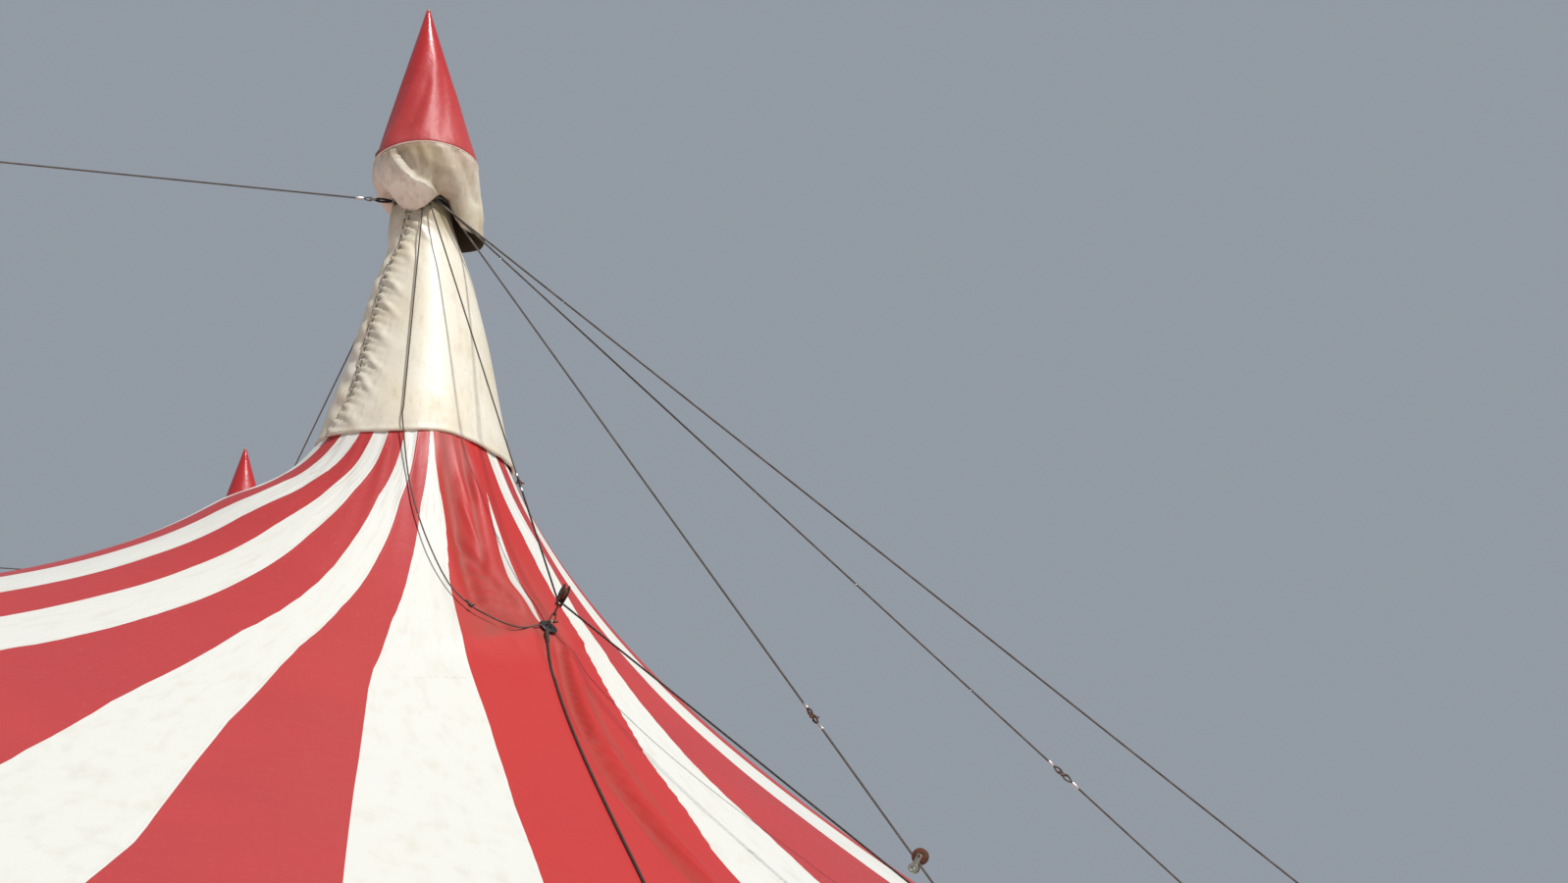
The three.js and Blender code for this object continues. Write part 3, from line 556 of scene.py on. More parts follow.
def roof_membrane():
    """PVC coated polyester, welded from red and white cloths: a soft satin, chalky and scuffed with age.

    The weave is about 1 mm and can't show at this distance, so its bump is drawn at 12 mm. Scuffs are
    100 to 400 mm long and lie along the cloth."""
    material, shader = new_material("striped_pvc_membrane")
    number = add_node(material, "SeparateXYZ", {0: add_node(material, "UVMap", uv_map="cloth")})
    radius = number.node.outputs["Y"]
    place = own_place(material)
    wedge = stored(material, "wedge")
    seam = stored(material, "seam")
    dirt_and_shade = stored(material, "grime_and_shade")
    # Every second cloth is white, and so is the wedge
    turn = reckon(material, "FLOORED_MODULO", number, 2.0)
    cloth_white = reckon(material, "GREATER_THAN", turn, 1.0)
    wedge_white = reckon(material, "GREATER_THAN", wedge, 0.0)
    is_white = reckon(material, "MAXIMUM", cloth_white, wedge_white)
    # Streaks lie along the cloth: the pattern is squeezed across it and stretched down it
    squeezed = reckon(material, "MULTIPLY", number, 2.4)
    streak_place = add_node(material, "CombineXYZ", {"X": squeezed, "Y": radius})
    streaks = noise(material, streak_place, 3.0, 6.0, Roughness=0.6)
    patches = noise(material, place, 0.7, 5.0)
    specks = noise(material, place, 26.0, 3.0, Roughness=0.7)
    worn = ramp(material, streaks, 0.5, 0.75)
    flecks = ramp(material, specks, 0.6, 0.8, 0.0, 0.4)
    red = blend(material, patches, "A92A2B", "B93432")
    red = blend(material, flecks, red, "C97168")
    # The panel above and below the ring plate is newer cloth, with a brighter red
    newer = reckon(material, "COMPARE", number, 6.5, 0.55)
    red = blend(material, newer, red, "B82620")
    white = blend(material, patches, "DFDDD5", "D8D4C8")
    yellowed = reckon(material, "MULTIPLY", worn, 0.45)
    white = blend(material, yellowed, white, "C9BFAA")
    cloth = blend(material, is_white, red, white)
    seam_line = ramp(material, seam, 0.004, 0.016, 0.3, 0.0)
    cloth = blend(material, seam_line, cloth, "7A6A5C")
    # Grey-brown dirt streaks below the cowl, and dirt with painted shade above the shoulder and in the
    # folds
    below_cowl = ramp(material, radius, 0.75, 1.6, 0.4, 0.0)
    below_cowl = reckon(material, "MULTIPLY", below_cowl, worn)
    patchy = ramp(material, streaks, 0.3, 0.7, 0.5, 1.0)
    # The stored mask is dirt with painted shade: above the shoulder, in the creases and round the plate
    dirt_and_shade = reckon(material, "MULTIPLY", dirt_and_shade, patchy)
    grime_and_shade = reckon(material, "MAXIMUM", below_cowl, dirt_and_shade)
    cloth = blend(material, grime_and_shade, cloth, "7A4E40")
    weave = noise(material, place, 80.0, 2.0)
    wrinkle = noise(material, place, 4.0, 5.0, Distortion=0.6)
    # Welds: the doubled edge of each cloth is a low ridge 30 mm wide
    across = reckon(material, "PINGPONG", number, 1.0)
    across = reckon(material, "MULTIPLY", across, radius)
    weld = ramp(material, across, 0.10, 0.16, 0.5, 0.0)
    heights = reckon(material, "MULTIPLY_ADD", weave, 0.2, weld)
    heights = reckon(material, "MULTIPLY_ADD", streaks, 0.5, heights)
    heights = reckon(material, "MULTIPLY_ADD", wrinkle, 2.2, heights)
    bump = bumps(material, heights, 0.5, 0.006)
    rough = ramp(material, patches, 0.3, 0.7, 0.42, 0.58)
    rough = reckon(material, "MULTIPLY_ADD", dirt_and_shade, 0.45, rough)
    fill_inputs(shader, {"Base Color": cloth, "Roughness": rough, "Normal": bump})
    return material


roof = roof_sheet()
dress(roof, roof_membrane())
give_thickness(roof, SKIN_THICKNESS)
for piece, quarter in zip(place_round(roof, "roof_quarter", "roof_membrane"), QUARTERS):
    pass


# The cowl is a cone of glossy cream PVC that hangs from the mast's collar and covers the roof's hole. It
# is one sheet wrapped round the mast and laced up on the left, where the lace puckers its edge. Its hem
# is rolled, and the lacing stops short of it and leaves a gap.
COWL_TOP = 10.76
COWL_TOP_RADIUS = 0.235
COWL_FLARE = 0.262
COWL_WAIST = 0.028
WAIST_HEIGHT = 10.38
WAIST_SPREAD = 0.2
COWL_THICKNESS = 0.003
COWL_COLUMNS = 124
COWL_ROWS = 104
COWL_CROWDING = 0.8
# The wind leans it a little, but not at the collar or the hem: heights between which that sets in
COWL_LEAN = 0.045
LEAN_TURN = math.radians(-9)
LEAN_TOP = (10.3, 10.65)
LEAN_FOOT = (8.6, 9.7)
# The last rows roll under and up into a bead, which stands a little proud
HEM_ROWS = 6
HEM_ROLL = 0.013
HEM_ROLL_TURN = math.radians(300)
HEM_PROUD = HEM_ROLL * 0.8
HEM_PROUD_HEIGHT = 0.035
# The lacing runs down the left, bends to the front under the cap, and bows out halfway down
LACING = math.radians(-151)
LACING_BEND = math.radians(30)
LACING_BEND_HEIGHTS = (10.05, 10.75)
LACING_BOW = math.radians(4)
LACING_BOW_HEIGHT = 9.1
LACING_BOW_SPREAD = 0.3
COWL_OVERLAP = math.radians(7)
OVERLAP_END = math.radians(18)
OVERLAP_DEPTH = 0.016
# At the foot the laced corner falls to the left and curls out over the tucked edge
OPEN_HEIGHT = 0.30
CORNER_FALL = math.radians(6)
CORNER_CURL = 0.022
TUCKED_FALL = math.radians(3)
TUCKED_DEPTH = 0.012
# Shares of the way round that the corner and the tucked edge take up
CORNER_SHARE = 0.06
TUCKED_SHARE = 0.07
# Each set of wrinkles: how far apart, how they slant, how deep, how far from the edge and how wide
PUCKER_PITCH, PUCKER_SLANT, PUCKER_DEPTH, PUCKER_WIDTH = 0.068, 0.45, 0.026, 0.08
DRAG_PITCH, DRAG_SLANT, DRAG_DEPTH, DRAG_PLACE, DRAG_WIDTH = 0.245, 0.9, 0.018, 0.15, 0.11
TUCK_PITCH, TUCK_SLANT, TUCK_DEPTH, TUCK_PLACE, TUCK_WIDTH = 0.21, -0.5, 0.010, 0.16, 0.12
# Flutes at the hem, soft hollows all over, and the bead of the doubled strip at the laced edge
FLUTE_DEPTH = 0.003
FLUTE_HEIGHT = 0.35
SOFT_DEPTH = 0.008
SOFT_START = (0.03, 0.2)
BEAD_DEPTH, BEAD_PLACE, BEAD_WIDTH = 0.004, 0.012, 0.008


def cowl_axis(z):
    """How far the cowl's middle is blown sideways from the mast's axis, as two plan offsets."""
    lean = COWL_LEAN * fade(z, *LEAN_TOP) * rise(z, *LEAN_FOOT)
    return lean * math.cos(LEAN_TURN), lean * math.sin(LEAN_TURN)


def cowl_radius(z):
    return COWL_TOP_RADIUS + COWL_FLARE * (COWL_TOP - z) - COWL_WAIST * bell(z, WAIST_SPREAD, WAIST_HEIGHT)


def lacing_turn(z):
    """Direction of the lacing from the mast, by height."""
    return (LACING + LACING_BEND * rise(z, *LACING_BEND_HEIGHTS)
            + LACING_BOW * bell(z, LACING_BOW_SPREAD, LACING_BOW_HEIGHT))


def set_round(sheet, lean, radius, angle, z):
    """Places points by distance and direction from the mast's axis, which is moved by the lean."""
    x = MAST.x + lean[0] + radius * np.cos(angle)
    set_points(sheet, x, MAST.y + lean[1] + radius * np.sin(angle), z)


def cowl_sheet():
    """The wrapped sheet, with its UV map in metres: across from the laced edge, and down from the top."""
    rows = COWL_ROWS + HEM_ROWS
    sheet, share, down = new_grid(COWL_COLUMNS, rows)
    row = np.round((1 - down) * rows)
    # The columns crowd together at the laced edge
    turn = share + COWL_CROWDING * (np.power(share, 3) - share) * fade(share, 0.0, 1.0)
    around = turn * (2 * math.pi + COWL_OVERLAP)
    hem = hem_height(LACING + around)
    depth = np.minimum(row / COWL_ROWS, 1)
    z = COWL_TOP + (hem - COWL_TOP) * depth
    from_hem = z - hem
    opening = fade(from_hem, 0.0, OPEN_HEIGHT)
    near_start, near_end = fade(turn, 0.0, CORNER_SHARE), fade(1 - turn, 0.0, TUCKED_SHARE)
    angle = lacing_turn(z) + around
    angle = angle - CORNER_FALL * opening * near_start - TUCKED_FALL * opening * near_end
    across, tucked_across = turn * 2 * math.pi * cowl_radius(z), (1 - turn) * 2 * math.pi * cowl_radius(z)
    phase = (z + PUCKER_SLANT * across) / PUCKER_PITCH * 2 * math.pi
    pucker = (0.65 * np.sin(phase) + 0.35 * np.sin(1.73 * phase + 1.0)) * np.exp(-across / PUCKER_WIDTH)
    # Wrinkles drag from the lace down across the sheet, and others cross the edge that is tucked under it
    phase = (z + DRAG_SLANT * across) / DRAG_PITCH * 2 * math.pi
    drag = np.maximum(np.sin(phase + 0.8 * np.sin(0.37 * phase)), 0) ** 2
    drag = drag * bell(across, DRAG_WIDTH, DRAG_PLACE)
    phase = (z + TUCK_SLANT * tucked_across) / TUCK_PITCH * 2 * math.pi
    tuck = np.sin(phase) * bell(tucked_across, TUCK_WIDTH, TUCK_PLACE)
    soft = np.sin(3 * angle + 0.8 * z) * 0.35 + np.sin(7 * angle - 1.3 * z + 1.0) * 0.35
    flute = np.sin(19 * angle + 2.0) * fade(from_hem, 0.0, FLUTE_HEIGHT)
    relief = PUCKER_DEPTH * pucker + DRAG_DEPTH * drag + TUCK_DEPTH * tuck + FLUTE_DEPTH * flute
    relief = relief + SOFT_DEPTH * soft * (1 - fade(depth, *SOFT_START))
    # The edge that is tucked under lies deeper, except at the open foot, where the corner curls out
    tucked = fade((1 - turn) * (2 * math.pi), COWL_OVERLAP, OVERLAP_END)
    relief = relief - OVERLAP_DEPTH * tucked * (1 - opening) - TUCKED_DEPTH * opening * near_end
    relief = relief + CORNER_CURL * opening * near_start + BEAD_DEPTH * bell(across, BEAD_WIDTH, BEAD_PLACE)
    roll = np.clip((row - COWL_ROWS) / HEM_ROWS, 0, 1) * HEM_ROLL_TURN
    proud = HEM_PROUD * fade(from_hem, 0.0, HEM_PROUD_HEIGHT)
    radius = cowl_radius(z) + relief + proud - HEM_ROLL * (1 - np.cos(roll))
    lean = cowl_axis(z)
    z = z - HEM_ROLL * np.sin(roll)
    set_round(sheet, lean, radius, angle, z)
    store_uv(sheet, "cloth", across, depth * (COWL_TOP - hem), 99.0)
    store_value(sheet, "hem", from_hem)
    # Painted shadow darkens the top, where the cap's skirt overhangs it, and dirt stays in the puckers
    store_value(sheet, "soil_and_shade", 1.2 * fade(COWL_TOP - z, 0.12, 0.38) + 0.45 * np.exp(-across / 0.07))
    turn_outwards(sheet)
    return sheet


def stained_shaded_pvc(name, clean, yellow, stain, rough, amount):
    """PVC coated polyester left out for years: a plasticky gloss over a dull weave.

    Rain carries dirt down in runs 20 to 60 mm wide, and the sun turns the upper parts yellow."""
    material, shader = new_material(name)
    across = add_node(material, "SeparateXYZ", {0: add_node(material, "UVMap", uv_map="cloth")})
    down = across.node.outputs["Y"]
    place = own_place(material)
    runs_place = add_node(material, "Mapping", {"Vector": place, "Scale": (7.0, 7.0, 0.9)})
    runs = noise(material, runs_place, 3.0, 6.0, Roughness=0.65)
    clouds = noise(material, place, 2.2, 6.0, Roughness=0.6)
    specks = noise(material, place, 45.0, 3.0, Roughness=0.7)
    tone = blend(material, ramp(material, clouds, 0.35, 0.7), clean, yellow)
    tone = blend(material, ramp(material, runs, 0.5, 0.8, 0.0, amount), tone, stain)
    # Dirt and painted shade darken the top 300 mm, which hangs under the cap
    top_dirt_and_shade = ramp(material, down, 0.06, 0.36, amount * 2.2, 0.0)
    # Dirt sits along the hem, and in the puckers of the laced edge
    hem_mark = ramp(material, stored(material, "hem"), 0.0, 0.22, amount * 1.2, 0.0)
    edge_mark = ramp(material, across, 0.0, 0.2, amount * 0.8, 0.0)
    marks = reckon(material, "MAXIMUM", reckon(material, "MAXIMUM", top_dirt_and_shade, hem_mark), edge_mark)
    tone = blend(material, reckon(material, "MULTIPLY", marks, clouds), tone, stain)
    tone = blend(material, ramp(material, specks, 0.64, 0.8, 0.0, 0.5), tone, stain)
    # The stored value is painted shade under the cap's skirt and on its drawn-in panel, with dirt and
    # stains
    soil_and_shade = reckon(material, "MULTIPLY", stored(material, "soil_and_shade"), clouds)
    tone = blend(material, soil_and_shade, tone, "8F7B55")
    shine = ramp(material, clouds, 0.3, 0.7, rough, rough + 0.16)
    crinkle = noise(material, place, 7.0, 6.0, Distortion=0.8)
    bump = bumps(material, crinkle, 0.35, 0.008)
    fill_inputs(shader, {"Base Color": tone, "Roughness": shine, "Normal": bump})
    return material


def dusty_film(name, clean, dusty, scale, detail, rough):
    """A plain surface whose only marks are clouds of dust."""
    material, shader = new_material(name)
    dust = noise(material, own_place(material), scale, detail)
    fill_inputs(shader, {"Base Color": blend(material, dust, clean, dusty), "Roughness": rough})
    return material


# The inner face is bare PVC, painted a dark grey brown for the shade inside the cap and the cowl, under
# clouds of dust
lining_shade_finish = dusty_film("shade_dark_pvc_lining", "3A2D20", "5A4A36", 6.0, 6.0, rough=0.8)

cowl_finish = stained_shaded_pvc("cream_pvc_membrane", "E6DFCE", "DCD0B4", "A58C6C", rough=0.34, amount=0.38)
cowl = cowl_sheet()
dress(cowl, cowl_finish)
give_thickness(cowl, COWL_THICKNESS, lining=lining_shade_finish)
for piece, quarter in zip(place_round(cowl, "cowl", "cowl_membrane"), QUARTERS):
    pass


# The lace is thin black cord that crosses the closure from eyelet to eyelet and is pulled tight. The
# eyelets are pressed from galvanised sheet, and sit in a doubled strip at the sheet's edge.
LACE_STEPS = 27
LACE_DIAMETER = 0.005
EYELET_RADIUS = 0.009
EYELET_WIRE = 0.003
EYELET_TILT = 0.26
LACE_START = 0.06
LACE_SIDE = math.radians(1.0)
LACE_HALF = math.radians(2.0) * COWL_TOP_RADIUS
LACE_PROUD = 0.012
EYELET_PROUD = 0.008


def cowl_point(angle, z, proud):
    """The place that stands proud of the cowl by this much."""
    lean_x, lean_y = cowl_axis(z)
    radius = cowl_radius(z) + proud
    x = MAST.x + lean_x + radius * math.cos(angle)
    return Vector((x, MAST.y + lean_y + radius * math.sin(angle), z))


def as_mesh(curve):
    select_only(curve)
    bpy.ops.object.convert(target="MESH")
    return bpy.context.object


def join(pieces):
    """One object from several meshes, with all their materials."""
    bpy.ops.object.select_all(action="DESELECT")
    for piece in pieces:
        piece.select_set(True)
    bpy.context.view_layer.objects.active = pieces[0]
    bpy.ops.object.join()
    return bpy.context.object


def turn_to_face(way):
    """The rotation that makes an upright shape point this way."""
    return Vector(way).to_track_quat("Z", "Y").to_euler()


def add_ring(place, facing, radius, thickness, finish, sides=12, section=6):
    """A torus round a direction."""
    bpy.ops.object.select_all(action="DESELECT")
    bpy.ops.mesh.primitive_torus_add(location=place, rotation=turn_to_face(facing), major_radius=radius,
                                     minor_radius=thickness, major_segments=sides, minor_segments=section)
    apply_place()
    bpy.ops.object.shade_smooth()
    return dress(bpy.context.object, finish)


def worn_steel(name, bright, dull, rust, rusted, rough, metallic=0.8):
    """Galvanised or painted metal left outdoors: a grey bloom, and rust where it has worn through.

    The bloom is 20 to 40 mm across and the rust has a grain of 5 mm."""
    material, shader = new_material(name)
    place = own_place(material)
    bloom = noise(material, place, 34.0, 5.0, Roughness=0.6)
    grain = noise(material, place, 210.0, 3.0)
    patches = noise(material, place, 13.0, 6.0, Roughness=0.7)
    level = 0.75 - 0.5 * rusted
    rusty = ramp(material, patches, level, level + 0.08)
    tone = blend(material, rusty, blend(material, bloom, bright, dull), rust)
    metal = ramp(material, rusty, 0.0, 1.0, metallic, 0.1)
    shine = ramp(material, rusty, 0.0, 1.0, rough, 0.85)
    bump = bumps(material, grain, 0.4, 0.002)
    fill_inputs(shader, {"Base Color": tone, "Metallic": metal, "Roughness": shine, "Normal": bump})
    return material


zinc_finish = worn_steel("hot_dip_galvanised_steel", "A9A99C", "8C8B80", "6B4A35", rusted=0.25, rough=0.5)
lace_points = []
eyelets = []
for step in range(LACE_STEPS):
    z = COWL_TOP - LACE_START - step * PUCKER_PITCH
    half = LACE_HALF / cowl_radius(z) * 2.2
    for side in (-1, 1) if step % 2 else (1, -1):
        angle = float(lacing_turn(z)) + side * half + LACE_SIDE
        lace_points.append(cowl_point(angle, z, LACE_PROUD))
        out = Vector((math.cos(angle), math.sin(angle), EYELET_TILT))
        eyelets.append(add_ring(cowl_point(angle, z, EYELET_PROUD), out, EYELET_RADIUS, EYELET_WIRE,
                                zinc_finish, section=4))
lace = as_mesh(cord_curve(lace_points, LACE_DIAMETER, sides=1))
dress(lace, cord_fibre("black_polyester_lace", "161412", "2E2925", LACE_DIAMETER))
place_round(join([lace, *eyelets]), "cowl_lace", "thin_cord", replaced=False)


# The slack line is two lengths of cord, tied together in a flat knot near the ring plate: two round turns
# and two short tails, which stand up a little.
KNOT_AT = Vector(SLACK_ROUTE[10])
KNOT_TURN_RADIUS = 0.009
KNOT_TURN_THICKNESS = 0.0075
KNOT_TURN_REACH = 0.010
# Each tail bends, and then ends, this far along the line and this far up
KNOT_BEND = (0.022, 0.014)
KNOT_END = (0.055, 0.022)
knot_finish = cord_fibre("weathered_polyester_knot", "2E2A27", "6A5E52", SLACK_DIAMETER)
knot_along = (Vector(SLACK_ROUTE[11]) - Vector(SLACK_ROUTE[9])).normalized()
knot_parts = [add_ring(KNOT_AT + knot_along * way * KNOT_TURN_REACH, knot_along, KNOT_TURN_RADIUS,
                       KNOT_TURN_THICKNESS, knot_finish, sides=14) for way in (-1, 1)]
for way in (-1, 1):
    tail = [KNOT_AT, KNOT_AT + knot_along * way * KNOT_BEND[0] + Vector((0, 0, KNOT_BEND[1])),
            KNOT_AT + knot_along * way * KNOT_END[0] + Vector((0, 0, KNOT_END[1] + 0.01 * way))]
    knot_parts.append(dress(as_mesh(cord_curve(tail, SLACK_DIAMETER * 0.8, sides=1)), knot_finish))
finish_piece(join(knot_parts), "slack_line_knot", slot="thin_cord")


# The cap's cone is glossy red PVC, drawn over a steel hoop that hangs from a short spike above the mast.
# It is sewn to the skirt at the hoop, which gathers it, and slack in the cloth lies in slanting folds.
CONE_TIP = 12.585
CONE_TIP_RADIUS = 0.014
CAP_SEAM = 11.2
HOOP_RADIUS = 0.44
SEAM_DIP = 0.05
CAP_LEAN = 0.028
CONE_COLUMNS = 96
CONE_ROWS = 44
CAP_THICKNESS = 0.002


def cap_lean(z):
    """The cap leans a little with the wind: how far its middle is off the mast's axis."""
    lean = CAP_LEAN * np.clip((CONE_TIP - z) / (CONE_TIP - CAP_SEAM), 0, 1)
    return lean * math.cos(LEAN_TURN), lean * math.sin(LEAN_TURN)


def seam_height(turn):
    """The slack draws the seam down at two sides, so it isn't quite level."""
    return CAP_SEAM - SEAM_DIP * np.cos(turn - LEAN_TURN) ** 2


def folds_round(degrees, z, radius, folds):
    """Folds on a sleeve: the points of each line in degrees and height, its lift and half its width."""
    relief = np.zeros_like(z)
    for points, lift, width in folds:
        for lap in (-360, 0, 360):
            line = [(math.radians(turn + lap) * radius, height) for turn, height in points]
            relief = relief + lift * fold_shape(np.radians(degrees) * radius, z, line, width)
    return relief


# Soft slanting folds, from the seam up towards the tip: direction in degrees and height, lift, half width
CONE_FOLDS = (
    (((-152, 11.26), (-118, 12.05)), 0.012, 0.07), (((-128, 11.24), (-100, 11.80)), -0.013, 0.06),
    (((-108, 11.30), (-76, 12.10)), 0.012, 0.07), (((-80, 11.24), (-62, 11.90)), -0.012, 0.06),
    (((-50, 11.26), (-34, 11.80)), 0.010, 0.08), (((-176, 11.26), (-146, 11.90)), -0.010, 0.07),
    (((10, 11.26), (-8, 11.80)), 0.012, 0.08), (((50, 11.26), (30, 11.90)), -0.012, 0.07),
    (((92, 11.26), (76, 11.80)), 0.011, 0.08), (((134, 11.26), (118, 11.80)), -0.011, 0.07),
)
GATHER_DEPTH = 0.008
HOOP_ROLL = 0.004


def cone_sheet():
    sheet, share, height = new_grid(CONE_COLUMNS, CONE_ROWS)
    turn = share * 2 * math.pi - math.pi
    seam = seam_height(turn)
    z = seam + (CONE_TIP - seam) * height
    relief = folds_round(np.degrees(turn), z, HOOP_RADIUS, CONE_FOLDS) * (1 - height)
    relief = relief * rise(height, 0.0, 0.08)
    gather = np.sin(turn * 37) * 0.6 + np.sin(turn * 59 + 0.7) * 0.4
    relief = relief + GATHER_DEPTH * gather * fade(height, 0.0, 0.16) * rise(height, 0.0, 0.02)
    # The hoop's edge shows as a low roll above the seam
    relief = relief + HOOP_ROLL * bell(height, 0.006, 0.008)
    radius = HOOP_RADIUS + (CONE_TIP_RADIUS - HOOP_RADIUS) * height + relief
    set_round(sheet, cap_lean(z), radius, turn, z)
    store_uv(sheet, "cloth", turn * HOOP_RADIUS, z - seam, 2 * math.pi * HOOP_RADIUS)
    turn_outwards(sheet, weld=True)
    return sheet


def glossy_pvc():
    """Plasticised PVC with a calendered gloss: a clear highlight, fine crinkle and dust low down."""
    material, shader = new_material("glossy_red_pvc")
    cloth = add_node(material, "SeparateXYZ", {0: add_node(material, "UVMap", uv_map="cloth")})
    height = cloth.node.outputs["Y"]
    place = own_place(material)
    clouds = noise(material, place, 3.5, 6.0)
    dust = noise(material, place, 24.0, 6.0, Roughness=0.75)
    tone = blend(material, clouds, "A81E22", "B8282A")
    tone = blend(material, ramp(material, dust, 0.55, 0.85, 0.0, 0.3), tone, "C8746C")
    # A bloom of dust lies on the lower third, and dirt just above the hoop
    bloom = reckon(material, "MULTIPLY", ramp(material, height, 0.1, 0.9, 0.35, 0.0), clouds)
    tone = blend(material, bloom, tone, "C8746C")
    foot = reckon(material, "MULTIPLY", ramp(material, height, 0.0, 0.07, 0.5, 0.0), dust)
    tone = blend(material, foot, tone, "5E2622")
    crinkle = noise(material, place, 9.0, 7.0, Distortion=1.2)
    bump = bumps(material, crinkle, 0.55, 0.008)
    # The tip is stretched smooth, and the slack cloth below is crazed and duller
    shine = ramp(material, height, 0.8, 1.3, 0.5, 0.2)
    fill_inputs(shader, {"Base Color": tone, "Roughness": shine, "Normal": bump})
    return material


SMOOTH_ANGLE = math.radians(40)


def turned_shape(place, outline, finish, facing=(0, 0, 1), sides=20):
    """A shape turned on a lathe. The outline is pairs of radius and height along the way it faces."""
    bpy.ops.object.select_all(action="DESELECT")
    (radius, height), *rest = outline
    bpy.ops.mesh.primitive_circle_add(vertices=sides, radius=radius, fill_type="NGON",
                                      location=(0, 0, height))
    bpy.ops.object.mode_set(mode="EDIT")
    bpy.ops.mesh.select_all(action="SELECT")
    bpy.ops.mesh.flip_normals()
    for new_radius, new_height in rest:
        bpy.ops.mesh.extrude_region_move(TRANSFORM_OT_translate={"value": (0, 0, new_height - height)})
        share = new_radius / radius
        bpy.ops.transform.resize(value=(share, share, 1))
        radius, height = new_radius, new_height
    bpy.ops.mesh.select_all(action="SELECT")
    bpy.ops.mesh.normals_make_consistent(inside=False)
    bpy.ops.object.mode_set(mode="OBJECT")
    shape = bpy.context.object
    apply_place()
    shape.location = place
    shape.rotation_euler = turn_to_face(facing)
    apply_place()
    bpy.ops.object.shade_smooth_by_angle(angle=SMOOTH_ANGLE)
    return dress(shape, finish)


cone = cone_sheet()
dress(cone, glossy_pvc())
give_thickness(cone, CAP_THICKNESS)
for piece, quarter in zip(place_round(cone, "cap_cone", "cone_membrane"), QUARTERS):
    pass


# A turned plug of pale nylon closes the cone's tip. It is 38 mm across and 36 mm tall, and the red cone
# and the dirt have stained it a dull pink.
KNOB_OUTLINE = ((0.010, 12.566), (0.017, 12.570), (0.019, 12.580), (0.018, 12.590), (0.013, 12.599),
                (0.006, 12.602))
knob_finish = dusty_film("turned_nylon", "B99A8E", "8A6A60", 60.0, 4.0, rough=0.5)
place_round(turned_shape(MAST, KNOB_OUTLINE, knob_finish), "cap_knob", "mast_steel", replaced=False)


# The cap's skirt is dirty cream PVC, sewn to the cone at the hoop. A strap in its hem draws it in over the
# collar at the left, where it bulges, and on the right it hangs free as a flap over the guys.
SKIRT_COLUMNS = 128
SKIRT_ROWS = 32
# Direction from the mast in degrees, then the hem's radius and height in metres
SKIRT_HEM = (
    (-180, 0.240, 10.830), (-171, 0.240, 10.790), (-160, 0.245, 10.720), (-141, 0.250, 10.655),
    (-120, 0.265, 10.645), (-106, 0.285, 10.670), (-97, 0.290, 10.715), (-88, 0.285, 10.765),
    (-80, 0.280, 10.800), (-64, 0.270, 10.765), (-58, 0.280, 10.680), (-53, 0.305, 10.600),
    (-47, 0.355, 10.530), (-41, 0.440, 10.490), (-30, 0.500, 10.475), (-16, 0.510, 10.490),
    (0, 0.495, 10.470), (30, 0.450, 10.500), (60, 0.400, 10.600), (90, 0.340, 10.700),
    (135, 0.290, 10.720), (168, 0.245, 10.790),
)
# The crest of the slack lobe, and the folds of the panel and the flap: direction in degrees and height of
# each point, then lift and half width in metres
CREST = ((-143, 11.14), (-139, 11.06), (-129, 10.95), (-118, 10.865), (-100, 10.815), (-84, 10.77),
         (-72, 10.74))
SKIRT_FOLDS = (
    (CREST, 0.022, 0.030),
    (((-90, 11.17), (-70, 10.90), (-50, 10.58)), 0.020, 0.045),
    (((-72, 11.15), (-56, 10.98), (-38, 10.78)), -0.022, 0.040),
    (((-101, 11.17), (-98, 10.98), (-94, 10.88)), -0.014, 0.030),
    (((-54, 11.15), (-36, 10.92), (-24, 10.66)), 0.016, 0.045),
    (((-120, 11.17), (-110, 10.98)), -0.012, 0.028), (((-112, 11.17), (-104, 11.02)), 0.010, 0.022),
    (((-34, 11.10), (-20, 10.80), (-12, 10.55)), -0.016, 0.045),
    (((-84, 11.17), (-78, 11.02)), -0.012, 0.024), (((-172, 11.12), (-165, 10.95)), -0.010, 0.040),
    (((-132, 10.86), (-120, 10.74)), -0.012, 0.030), (((0, 11.12), (12, 10.70)), 0.016, 0.050),
    (((30, 11.12), (40, 10.75)), -0.016, 0.050), (((62, 11.12), (66, 10.80)), 0.016, 0.050),
    (((96, 11.12), (92, 10.80)), -0.016, 0.050), (((128, 11.12), (122, 10.80)), 0.014, 0.050),
    (((158, 11.10), (150, 10.85)), -0.014, 0.050),
)
SKIRT_BULGE = 0.014
SKIRT_TURN = 7.0
SKIRT_CROWDING = 18
SKIRT_GATHER = 0.004
SKIRT_HEM_FOLD = 0.007
# The lobe below the crest: its middle and its two limits in degrees, and how far in or out it is drawn
LOBE_TURN = -122
LOBE_LIMITS = (30, 46)
LOBE_PROUD = 0.026
LOBE_DRAWN = 0.050
# The flap's middle and limits, and a dirty spot on the lobe
FLAP_TURN = -48
FLAP_LIMITS = (26, 50)
SPOT_TURN, SPOT_HEIGHT = -137, 10.95
GROMMET_PLACE = (-92.0, 11.12)


